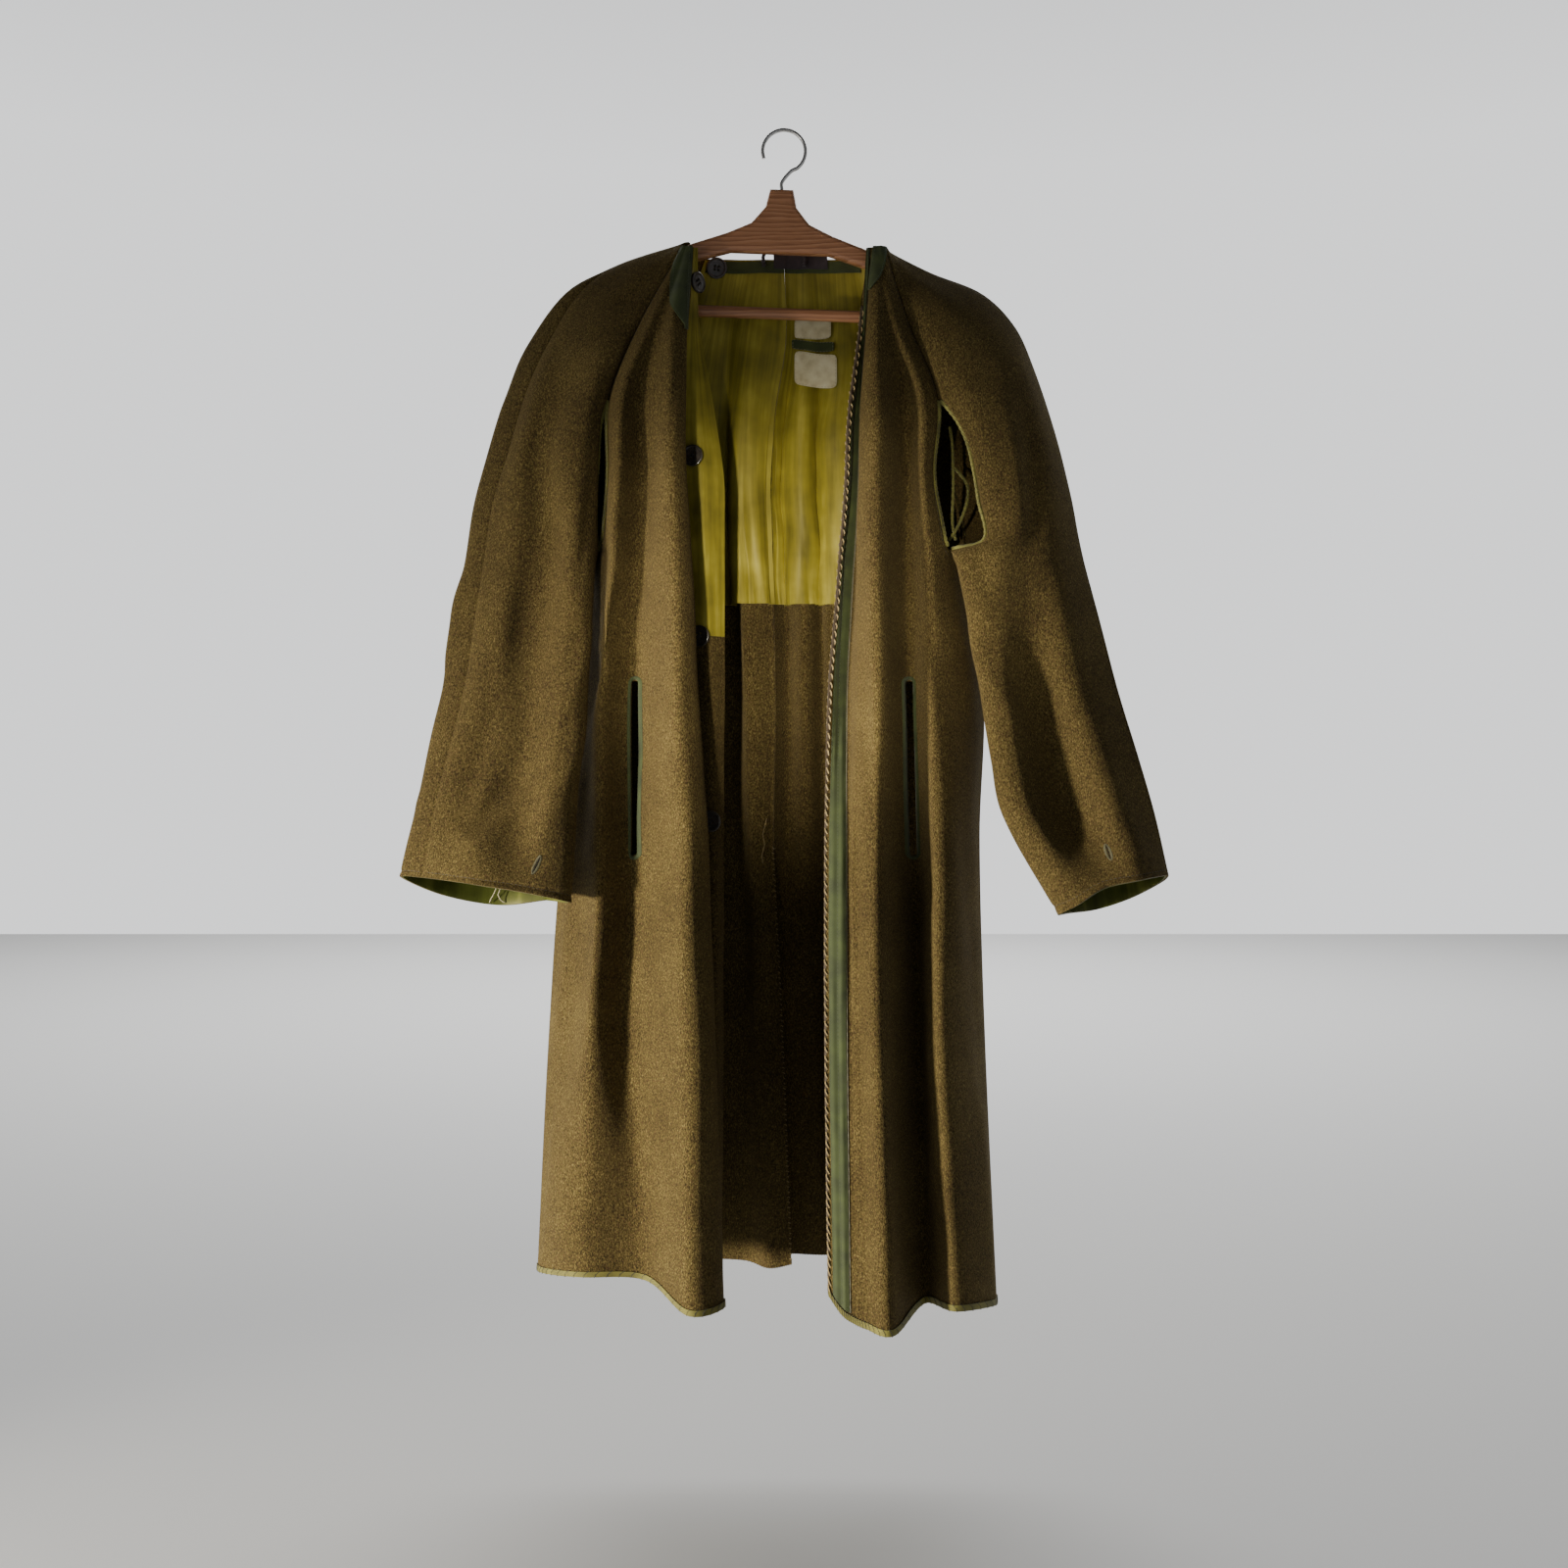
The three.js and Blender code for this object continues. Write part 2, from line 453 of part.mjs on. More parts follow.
const overRight = overSeam(sleeveRightFront, sleeveRightBack);
const overLeft = overSeam(sleeveLeftFront, sleeveLeftBack);
const [RIGHT, LEFT, AHEAD, BEHIND] = [-1, 1, -1, 1];

const bodyRows = [...YOKE_ROWS, ...SKIRT_ROWS];
const sleeveRows = [...YOKE_ROWS, ...SLEEVE_ROWS];
const between = (rows, from, to) => [from, ...rows.filter((s) => s > from + 2 && s < to - 2), to];
const cut = { near: 0, far: WOOL };
const columnsOf = {
  frontRight: steps(RECESS, SEAM, 18),
  frontLeft: [...steps(0, 6, 18), 6.5, ...steps(7, SEAM, 3)],
  backRight: steps(0, 5, 12),
  backLeft: steps(0, 6, 14),
  sleeveFront: steps(0, 5, 11),
  sleeveBack: steps(0, 4, 9),
};

const flat = {
  frontRight: faceted(frontRight, columnsOf.frontRight, bodyRows),
  frontLeft: faceted(frontLeft, columnsOf.frontLeft, bodyRows),
  backRight: faceted(backRight, columnsOf.backRight, bodyRows),
  backLeft: faceted(backLeft, columnsOf.backLeft, bodyRows),
  sleeveRightFront: faceted(sleeveRightFront, columnsOf.sleeveFront, sleeveRows),
  sleeveRightBack: faceted(sleeveRightBack, columnsOf.sleeveBack, sleeveRows),
  sleeveLeftFront: faceted(sleeveLeftFront, columnsOf.sleeveFront, sleeveRows),
  sleeveLeftBack: faceted(sleeveLeftBack, columnsOf.sleeveBack, sleeveRows),
};

// Solids for the pieces that are cut through or joined
function toSolid(geometry) {
  const source = new wasm.Mesh({
    numProp: 3,
    vertProperties: new Float32Array(geometry.attributes.position.array),
    triVerts: new Uint32Array(geometry.index.array),
  });
  return new wasm.Manifold(source);
}
function fromSolid(solid) {
  const { vertProperties, triVerts } = solid.getMesh();
  const geometry = new THREE.BufferGeometry();
  geometry.setAttribute("position", new THREE.Float32BufferAttribute(vertProperties, 3));
  geometry.setIndex([...triVerts]);
  return geometry;
}

// The outline of a pocket slit on a front's valley line, grown by a margin: an upright slot with round ends.
function slitOutline(surface, margin) {
  const r = SLIT.width / 2 + margin;
  const perColumn = Math.abs(surface(VALLEY + 0.1, SLIT.top).x - surface(VALLEY - 0.1, SLIT.top).x) / 0.2;
  const top = { s: SLIT.top + SLIT.width / 2, from: Math.PI };
  const bottom = { s: SLIT.bottom - SLIT.width / 2, from: 0 };
  const side = steps(top.s, bottom.s, 4).slice(1, -1);
  const arc = ({ s, from }) =>
    steps(from, from + Math.PI, 4).map((angle) => ({
      c: VALLEY + (r * Math.cos(angle)) / perColumn,
      s: s + r * Math.sin(angle),
    }));
  const edge = (away, rows) => rows.map((s) => ({ c: VALLEY + away / perColumn, s }));
  return [...arc(top), ...edge(r, side), ...arc(bottom), ...edge(-r, side.toReversed())];
}

// A closed wall through rings of the same number of points, each joined to the next and the last to the first.
function ringWall(rings, turned) {
  const n = rings[0].length;
  const faces = [];
  rings.forEach((_, r) => {
    const q = (r + 1) % rings.length;
    for (let i = 0; i < n; i += 1) {
      const j = (i + 1) % n;
      const quad = [r * n + i, r * n + j, q * n + j, r * n + i, q * n + j, q * n + i];
      faces.push(...(turned ? quad.toReversed() : quad));
    }
  });
  return mesh(rings.flat(), faces);
}
function onPanel(panel, outline, deep) {
  return outline.map(({ c, s }) => panel(c, s).addScaledVector(inwards(panel, c, s), deep));
}
function slitCutter(surface) {
  const outline = slitOutline(surface, 0);
  const n = outline.length;
  const straight = ({ c, s }, deep) => surface(c, s).addScaledVector(inwards(surface, VALLEY, s), deep);
  const rings = [-6, 9].map((deep) => outline.map((place) => straight(place, deep)));
  const flatOutline = outline.map(({ c, s }) => new THREE.Vector2(c * 30, s));
  const caps = THREE.ShapeUtils.triangulateShape(flatOutline, []);
  const faces = caps.flatMap(([a, b, c]) => [a, b, c, n + c, n + b, n + a]);
  for (let i = 0; i < n; i += 1) {
    const j = (i + 1) % n;
    faces.push(i, n + i, j, j, n + i, n + j);
  }
  let solid = toSolid(mesh(rings.flat(), faces));
  if (solid.volume() < 0) solid = toSolid(mesh(rings.flat(), faces.toReversed()));
  return solid;
}
const pocketed = (geometry, surface) => fromSolid(toSolid(geometry).subtract(slitCutter(surface)));

// Body panels
add("front_right", pocketed(
  layer(frontRight, columnsOf.frontRight, bodyRows, {
    ...cut, first: {}, last: underarm(frontRight, sleeveRightFront, backRight, RIGHT, AHEAD),
  }),
  frontRight,
), wool);
add("front_left", pocketed(
  layer(frontLeft, columnsOf.frontLeft, bodyRows, {
    ...cut, last: underarm(frontLeft, sleeveLeftFront, backLeft, LEFT, AHEAD),
  }),
  frontLeft,
), wool);
add("back_right", layer(backRight, columnsOf.backRight, bodyRows, {
  ...cut, first: underarm(backRight, sleeveRightBack, frontRight, RIGHT, BEHIND), last: centreSeam,
}), wool);
add("back_left", layer(backLeft, columnsOf.backLeft, bodyRows, {
  ...cut, first: centreSeam, last: underarm(backLeft, sleeveLeftBack, frontLeft, LEFT, BEHIND),
}), wool);

// Sleeves
add("sleeve_right_front", layer(sleeveRightFront, columnsOf.sleeveFront, sleeveRows, {
  ...cut, first: underarm(sleeveRightFront, frontRight, sleeveRightBack, RIGHT, AHEAD), last: overRight,
}), wool);
add("sleeve_right_back", layer(sleeveRightBack, columnsOf.sleeveBack, sleeveRows, {
  ...cut, first: overRight, last: underarm(sleeveRightBack, backRight, sleeveRightFront, RIGHT, BEHIND),
}), wool);
add("sleeve_left_front", layer(sleeveLeftFront, columnsOf.sleeveFront, sleeveRows, {
  ...cut, first: underarm(sleeveLeftFront, frontLeft, sleeveLeftBack, LEFT, AHEAD), last: overLeft,
}), wool);
add("sleeve_left_back", layer(sleeveLeftBack, columnsOf.sleeveBack, sleeveRows, {
  ...cut, first: overLeft, last: underarm(sleeveLeftBack, backLeft, sleeveLeftFront, LEFT, BEHIND),
}), wool);

// The satin lining of the back halves, gathered where it is sewn to the wool at its lower edge.
// It has a gather between each two columns of its panel.
const GATHERS = { deep: 2.2, from: 330, clear: 0.9 };
const liningRows = between(bodyRows, NECK + 1, LINING_HEM);
function lining(panel, columns, ends) {
  const across = columns.flatMap((c, i) => (i === 0 ? [c] : [(columns[i - 1] + c) / 2, c]));
  const swell = (s) => GATHERS.deep * Math.max(0, (s - GATHERS.from) / (LINING_HEM - GATHERS.from));
  const deep = (c, s) => WOOL + GATHERS.clear + (columns.includes(c) ? 0 : swell(s));
  return layer(panel, across, liningRows, { near: deep, far: (c, s) => deep(c, s) + SATIN, ...ends });
}
add("lining_back_right", lining(flat.backRight, columnsOf.backRight.slice(1), { last: centreSeam }), satin);
add("lining_back_left", lining(flat.backLeft, columnsOf.backLeft.slice(0, -1), { first: centreSeam }), satin);

// A layer on top of a panel, or under it behind what already lies there.
const onTop = (thickness) => ({ near: -LIFT - thickness, far: -LIFT });
const under = (covered, thickness) => ({ near: covered + LIFT, far: covered + LIFT + thickness });
const LINED = WOOL + GATHERS.clear + SATIN;
const columnsIn = (columns, from, to) => columns.filter((c) => c > from - TINY && c < to + TINY);

// The button strip along the right front, satin above and wool below, sewn on in the recess of the first fold.
const STRIP = 1.6;
const stripColumns = steps(0, RECESS, 5);
const strip = { near: 0, far: STRIP, last: {} };
const satinRows = between(bodyRows, NECK, STRIP_SEAM - half);
const woolRows = between(bodyRows, STRIP_SEAM + half, HEM);
add("button_strip_satin", layer(frontRight, stripColumns, satinRows, strip), satin);
add("button_strip_wool", layer(frontRight, stripColumns, woolRows, strip), wool);

// Cotton tapes: along the left front's edge, round the neck and over the back lining.
const tapeColumns = columnsIn(columnsOf.frontLeft, 1 / 3, 5 / 3);
const frontTapeRows = between(bodyRows, NECK + 1, HEM - BINDING_WIDTH - 2);
add("front_tape_left", layer(flat.frontLeft, tapeColumns, frontTapeRows, onTop(TAPE)), tape);
function narrowing(front, widest, end) {
  const width = (s) => widest * Math.max(0.12, 1 - (s - NECK) / (end - NECK));
  return Object.assign((t, s) => front(LIP + t * width(s), s), {
    inward: (t, s) => front.inward(LIP + t * width(s), s),
    turned: front.turned,
  });
}
const NECK_TAPE = { wide: 4.9, rightEnd: 208, leftEnd: 172, clear: 1.3 };
const neckTape = { near: -NECK_TAPE.clear - TAPE, far: -NECK_TAPE.clear };
add("neck_tape_right", layer(
  narrowing(flat.frontRight, NECK_TAPE.wide, NECK_TAPE.rightEnd), steps(0, 1, 7),
  [NECK, 134, 144, 154, 165, 185], neckTape,
), tape);
add("neck_tape_left", layer(
  narrowing(flat.frontLeft, NECK_TAPE.wide, NECK_TAPE.leftEnd), steps(0, 1, 7), [NECK, 134, 144, 154, 165],
  neckTape,
), tape);
const NECK_TAPE_ROWS = [NECK + 2, NECK + 14];
add("neck_tape_back_right", layer(flat.backRight, columnsIn(columnsOf.backRight, 0.8, 5), NECK_TAPE_ROWS, {
  ...under(LINED, TAPE), last: centreSeam,
}), tape);
add("neck_tape_back_left", layer(flat.backLeft, columnsIn(columnsOf.backLeft, 0, 5.2), NECK_TAPE_ROWS, {
  ...under(LINED, TAPE), first: centreSeam,
}), tape);

// Hem bindings, on the outside of each panel's lower edge.
const hemRows = [HEM - BINDING_WIDTH, HEM];
const hemOn = (panel, columns, ends = {}) => layer(panel, columns, hemRows, { ...onTop(TAPE), ...ends });
add("hem_front_right", hemOn(flat.frontRight, columnsOf.frontRight, { last: {} }), binding);
add("hem_front_left", hemOn(flat.frontLeft, columnsOf.frontLeft, { last: {} }), binding);
add("hem_back_right", hemOn(flat.backRight, columnsOf.backRight, { first: {} }), binding);
add("hem_back_left", hemOn(flat.backLeft, columnsOf.backLeft, { last: {} }), binding);

// Bindings of the underarm slots, one on the body's edge and one on the sleeve's, in front and behind.
const slotRows = YOKE_ROWS.filter((s) => s > SLOT_TOP && s < SLOT_BOTTOM);
const SLOT_LIFT = 0.7;
const slotOn = (panel, columns, rows = slotRows) =>
  layer(panel, columns, rows, { near: -SLOT_LIFT - TAPE, far: -SLOT_LIFT });
const [broad, narrow] = [1 / 3, 0.13];
const lowSlot = slotRows.slice(1);
add("slot_front_right_body", slotOn(flat.frontRight, [SEAM - broad, SEAM]), binding);
add("slot_front_right_sleeve", slotOn(flat.sleeveRightFront, [0, broad]), binding);
add("slot_front_left_body", slotOn(flat.frontLeft, [SEAM - broad, SEAM]), binding);
add("slot_front_left_sleeve", slotOn(flat.sleeveLeftFront, [0, broad]), binding);
add("slot_back_right_body", slotOn(flat.backRight, [0, narrow], lowSlot), binding);
add("slot_back_right_sleeve", slotOn(flat.sleeveRightBack, [4 - narrow / 2, 4], lowSlot), binding);
add("slot_back_left_body", slotOn(flat.backLeft, [6 - narrow, 6], lowSlot), binding);
add("slot_back_left_sleeve", slotOn(flat.sleeveLeftBack, [4 - narrow / 2, 4], lowSlot), binding);

// Pocket-slit bindings
function slitBinding(panel) {
  const [inner, outer] = [slitOutline(panel.round, 0.4), slitOutline(panel.round, SLIT.binding)];
  const rings = [[outer, -LIFT - TAPE], [inner, -LIFT - TAPE], [inner, -LIFT], [outer, -LIFT]];
  return ringWall(rings.map(([outline, deep]) => onPanel(panel, outline, deep)), panel.turned);
}
add("pocket_binding_right", slitBinding(flat.frontRight), tape);
add("pocket_binding_left", slitBinding(flat.frontLeft), tape);

// Satin inside the cuffs
const cuffRows = [700, 745, CUFF];
const cuffOn = (panel, columns, ends) => layer(panel, columns, cuffRows, { ...under(WOOL, SATIN), ...ends });
const underSleeve = (front, back) => ({ mitre: mitre(front, 0, back, 4) });
const underRight = underSleeve(sleeveRightFront, sleeveRightBack);
const underLeft = underSleeve(sleeveLeftFront, sleeveLeftBack);
const { sleeveFront, sleeveBack } = columnsOf;
for (const [side, front, back, under, over] of [
  ["right", flat.sleeveRightFront, flat.sleeveRightBack, underRight, overRight],
  ["left", flat.sleeveLeftFront, flat.sleeveLeftBack, underLeft, overLeft],
]) {
  add(`cuff_lining_${side}_front`, cuffOn(front, sleeveFront, { first: under, last: over }), satin);
  add(`cuff_lining_${side}_back`, cuffOn(back, sleeveBack, { first: over, last: under }), satin);
}

// The labels and the patch between them lie across the lining's foremost fold, nearly flat.
const LABEL = { thick: 0.8, bow: 0.0035 };
function labelAt(name, [left, right], [top, bottom], slope, material) {
  const middle = (left + right) / 2;
  const place = (x, h) => {
    const crest = backLeft(BACK_LEFT.indexOf("crest"), h);
    const y = crest.y - LINED - LIFT - LABEL.thick - LABEL.bow * (x - middle) ** 2;
    return new THREE.Vector3(x, y, -h - slope * (x - middle));
  };
  const face = steps(top, bottom, 2).map((h) => steps(left, right, 4).map((x) => place(x, h)));
  const back = face.map((row) => row.map((p) => p.clone().add(new THREE.Vector3(0, LABEL.thick, 0))));
  add(name, wall(face, back, true), material);
}
labelAt("label_upper", [11, 49], [186, 205.5], -0.06, label);
labelAt("label_patch", [8, 52], [208, 218], 0.02, tape);
labelAt("label_lower", [11, 55], [220.5, 256], 0.05, label);

// The hanging tab and loop in the middle of the neck
const TAPED = LINED + LIFT + TAPE;
add("neck_tab", layer(backLeft, steps(-0.9, 3.3, 5), [NECK - 9, NECK, NECK + 10], under(TAPED, TAPE)), darkTape);
const LOOP = { half: 21, top: 101, foot: 133, radius: 1.8, waist: 121 };
const loopY = 42.4 - (TAPED + LIFT + TAPE + LIFT + LOOP.radius);
const loopLine = new THREE.CatmullRomCurve3([
  new THREE.Vector3(-LOOP.half, loopY, -LOOP.foot),
  new THREE.Vector3(-LOOP.half, loopY, -LOOP.waist),
  new THREE.Vector3(-LOOP.half * 0.6, loopY - 1, -LOOP.top - 2.5),
  new THREE.Vector3(0, loopY - 1.5, -LOOP.top),
  new THREE.Vector3(LOOP.half * 0.6, loopY - 1, -LOOP.top - 2.5),
  new THREE.Vector3(LOOP.half, loopY, -LOOP.waist),
  new THREE.Vector3(LOOP.half, loopY, -LOOP.foot),
]);
const disc = (radius, sides) => new THREE.Shape(steps(0, 2 * Math.PI, sides).slice(1)
  .map((angle) => new THREE.Vector2(radius * Math.cos(angle), radius * Math.sin(angle))));
const rod = (line, radius, sides, count) =>
  new THREE.ExtrudeGeometry(disc(radius, sides), { steps: count, extrudePath: line });
add("hanging_loop", rod(loopLine, LOOP.radius, 6, 14), darkTape);

// Four-hole buttons
function button() {
  const face = disc(BUTTON.radius, 16);
  for (const [x, y] of [[1, 1], [1, -1], [-1, -1], [-1, 1]]) {
    const hole = new THREE.Path();
    hole.absarc(x * BUTTON.holeAt, y * BUTTON.holeAt, BUTTON.hole, 0, 2 * Math.PI, true);
    face.holes.push(hole);
  }
  return new THREE.ExtrudeGeometry(face, { depth: BUTTON.thick, curveSegments: 3, bevelEnabled: false });
}
function buttonAt(name, panel, c, s, side, height) {
  const outward = inwards(panel, c, s).multiplyScalar(side);
  const mesh = add(name, button(), buttonPlastic);
  mesh.position.copy(panel(c, s).addScaledVector(outward, height));
  mesh.quaternion.setFromUnitVectors(new THREE.Vector3(0, 0, 1), outward);
}
buttonAt("button_neck_edge", frontRight, 0.1, 160, -1, 1);
buttonAt("button_upper", frontRight, 1.38, 339, -1, 2.7);
buttonAt("button_middle", frontRight, 1.25, 521, -1, 0.35);
buttonAt("button_lower", frontRight, 1.15, 707.6, -1, 0.65);
buttonAt("button_inside_neck", backRight, 1.5, 133, 1, TAPED + 1);

// The hanger: wooden arms tilted to its left, a dowel between their ends and a wire hook.
const HANGER = { tilt: 0.038, y: 14, thick: 13, bevel: 4, bar: 6, barAt: 187, barHalf: 192.6, wire: 2 };
const ARM = {
  x: [12, 16, 30, 54, 92, 120, 150, 180, 195, 203, 208, 208, 204, 197, 193, 193, 170, 130, 90, 50],
  h: [60, 78, 95, 106, 119.5, 132.5, 147.5, 159, 169.5, 177, 184, 193, 199, 199, 195, 180, 172, 157, 138, 126],
};
const arm = (side) => ARM.x.map((x, i) => new THREE.Vector2(side * x, -ARM.h[i]));
const hanger = new THREE.Group();
hanger.rotation.y = HANGER.tilt;
coat.add(hanger);
function hang(name, geometry, material) {
  const mesh = add(name, geometry, material);
  hanger.add(mesh);
}
const wood = new THREE.ExtrudeGeometry(new THREE.Shape([...arm(1), ...arm(-1).toReversed()]), {
  depth: HANGER.thick - 2 * HANGER.bevel, bevelSize: HANGER.bevel, bevelOffset: -HANGER.bevel,
  bevelThickness: HANGER.bevel, bevelSegments: 2,
});
const woodBack = HANGER.y + HANGER.thick / 2 - HANGER.bevel;
hang("hanger_wood", wood.rotateX(Math.PI / 2).translate(0, woodBack, 0), beech);
const bar = new THREE.CylinderGeometry(HANGER.bar, HANGER.bar, 2 * HANGER.barHalf, 16);
hang("hanger_bar", bar.rotateZ(Math.PI / 2).translate(0, HANGER.y, -HANGER.barAt), beech);

// The hook: a straight shank that turns into most of a circle, whose inside carries the coat on a rail.
const HOOK = { inner: 20, foot: 59.7 };
const bend = HOOK.inner + HANGER.wire;
const onBend = (degrees) => {
  const angle = (degrees * Math.PI) / 180;
  return new THREE.Vector3(bend * Math.cos(angle), HANGER.y, bend * Math.sin(angle) - HOOK.inner);
};
const shankX = -HOOK.foot * Math.sin(HANGER.tilt);
const hookLine = new THREE.CatmullRomCurve3([
  new THREE.Vector3(shankX, HANGER.y, -HOOK.foot),
  new THREE.Vector3(shankX * 0.9, HANGER.y, -HOOK.foot + 8),
  ...steps(-72, 200, 13).map(onBend),
]);
add("hook", rod(hookLine, HANGER.wire, 10, 26), steel);

// The hook hangs in the origin's plane.
coat.position.y = -HANGER.y;

export default coat;
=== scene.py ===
import math

import bpy
import numpy as np
from mathutils import Matrix, Vector


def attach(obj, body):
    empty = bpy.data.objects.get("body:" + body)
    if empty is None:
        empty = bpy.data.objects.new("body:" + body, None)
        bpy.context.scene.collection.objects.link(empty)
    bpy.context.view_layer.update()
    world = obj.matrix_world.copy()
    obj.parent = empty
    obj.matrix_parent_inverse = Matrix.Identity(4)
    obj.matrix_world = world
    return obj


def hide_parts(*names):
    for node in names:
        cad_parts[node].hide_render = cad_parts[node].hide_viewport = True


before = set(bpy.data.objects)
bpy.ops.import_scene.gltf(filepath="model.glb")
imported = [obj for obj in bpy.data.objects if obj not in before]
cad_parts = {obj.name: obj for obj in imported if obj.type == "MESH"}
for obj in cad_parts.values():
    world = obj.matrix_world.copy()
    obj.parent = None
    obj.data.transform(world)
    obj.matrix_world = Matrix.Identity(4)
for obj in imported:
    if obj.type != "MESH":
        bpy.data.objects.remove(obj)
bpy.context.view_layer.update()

# The studio. The photograph was taken from straight ahead at half the coat's height, from about two metres,
# in soft light from the left, so the folds are lit on their left sides. Sizes in metres.
HALF_HEIGHT = -0.670
CAMERA_AWAY = 2.0
HOOK_AHEAD = 14  # the sizes below count millimetres from a plane this far in front of the hook
FLOOR_UNDER_HOOK = 1.36

camera = bpy.data.objects.new("camera", bpy.data.cameras.new("camera"))
camera.data.sensor_width = 36
camera.data.lens = 45
camera.location = (0, -CAMERA_AWAY - HOOK_AHEAD / 1000, HALF_HEIGHT)
camera.rotation_euler = (math.radians(90), 0, 0)
bpy.context.collection.objects.link(camera)
bpy.context.scene.camera = camera


def lamp(name, place, aim, size, watts, colour, cone=None):
    made = bpy.data.objects.new(name, bpy.data.lights.new(name, "SPOT" if cone else "AREA"))
    made.data.energy = watts
    made.data.color = colour
    if cone:
        made.data.spot_size, made.data.spot_blend, made.data.shadow_soft_size = math.radians(cone), 1.0, size / 2
    else:
        made.data.size = size
    made.location = place
    made.rotation_euler = (Vector(aim) - Vector(place)).to_track_quat("-Z", "Y").to_euler()
    bpy.context.collection.objects.link(made)


lamp("key", (-2.35, -1.35, -1.2), (0.05, 0, -1.08), 0.3, 700, (1, 0.93, 0.80), cone=42)
lamp("soft_left", (-1.9, -2.3, -0.7), (0, 0, -0.7), 1.0, 9, (1, 0.97, 0.92))
lamp("inside", (-0.62, -2.7, -0.85), (0.03, 0.05, -0.50), 0.12, 350, (1, 0.93, 0.78), cone=11)
lamp("fill", (1.2, -3.0, -0.6), (0, 0, -0.7), 2.0, 3, (0.8, 0.88, 1))
lamp("floor_light", (0, 4.5, 2.2), (0, 4.5, -1.36), 5.0, 260, (1, 1, 1))

# The room is pale all round the horizon behind the coat, and dim overhead and behind the camera.
world = bpy.data.worlds.new("studio")
world.use_nodes = True
room = world.node_tree
toward = room.nodes.new("ShaderNodeSeparateXYZ")
room.links.new(room.nodes.new("ShaderNodeTexCoord").outputs["Generated"], toward.inputs[0])
shades = []
for axis, dark_at, pale_at, dark in [("Z", 0.7, 0.3, 0.12), ("Y", -0.2, 0.3, 0.1)]:
    shade = room.nodes.new("ShaderNodeMapRange")
    for key, value in [("From Min", dark_at), ("From Max", pale_at), ("To Min", dark), ("To Max", 1.0)]:
        shade.inputs[key].default_value = value
    room.links.new(toward.outputs[axis], shade.inputs["Value"])
    shades.append(shade)
both = room.nodes.new("ShaderNodeMath")
both.operation = "MULTIPLY"
for shade, socket in zip(shades, both.inputs):
    room.links.new(shade.outputs[0], socket)
room.links.new(both.outputs[0], room.nodes["Background"].inputs["Strength"])
room.nodes["Background"].inputs["Color"].default_value = (1.25, 1.26, 1.27, 1)
bpy.context.scene.world = world

for picked in bpy.context.selected_objects:
    picked.select_set(False)
bpy.ops.mesh.primitive_plane_add(size=14, location=(0, 0, -FLOOR_UNDER_HOOK))
floor = bpy.context.object
floor.name = "floor"
paper = bpy.data.materials.new("pale_paper")
paper.use_nodes = True
paper.node_tree.nodes["Principled BSDF"].inputs["Base Color"].default_value = (0.83, 0.83, 0.82, 1)
paper.node_tree.nodes["Principled BSDF"].inputs["Roughness"].default_value = 0.9
floor.data.materials.append(paper)

# The body and sleeves: one thickness of brown-olive wool frieze, a napped and milled cloth with a heather grain.
# Each panel is cut flat, sewn at its seams and hangs in folds from the shoulders. Its lines are the folds, its
# rows are depths in millimetres under the hook, and its creases are soft ridges (up) and troughs (down). A row
# gives its depth, each line's x and y, and each line's own depth where the row isn't level.
WOOL = 2.6
NECK, SLOT_TOP, SLOT_BOTTOM, ARMPIT, VENT_TOP, HEM, CUFF = 124, 284, 436, 450, 726, 1180, 790
LINING_HEM, STRIP_SEAM = 482, 521
HALF_SEAM = 0.15
NEAR_SEAM = np.array([1, 2.2, 3.8, 6.5])  # a groove is drawn with columns this far from its seam


def smooth(knots, values, at):
    """Values on a smooth line through rising knots, carried on straight past both ends."""
    knots, values, at = (np.asarray(given, float) for given in (knots, values, at))
    shape = (-1,) + (1,) * (values.ndim - 1)
    order = np.arange(len(knots))
    before, after = np.maximum(order - 1, 0), np.minimum(order + 1, len(knots) - 1)
    slope = (values[after] - values[before]) / (knots[after] - knots[before]).reshape(shape)
    i = np.clip(np.searchsorted(knots, at) - 1, 0, len(knots) - 2)
    span = (knots[i + 1] - knots[i]).reshape(shape)
    t = np.clip((at - knots[i]).reshape(shape) / span, 0, 1)
    curve = (
        values[i] * (2 * t**3 - 3 * t**2 + 1)
        + slope[i] * span * (t**3 - 2 * t**2 + t)
        + values[i + 1] * (3 * t**2 - 2 * t**3)
        + slope[i + 1] * span * (t**3 - t**2)
    )
    short, long = np.minimum(at - knots[0], 0), np.maximum(at - knots[-1], 0)
    return curve + short.reshape(shape) * slope[0] + long.reshape(shape) * slope[-1]


def unit(vectors):
    return vectors / np.maximum(np.linalg.norm(vectors, axis=-1, keepdims=True), 1e-9)


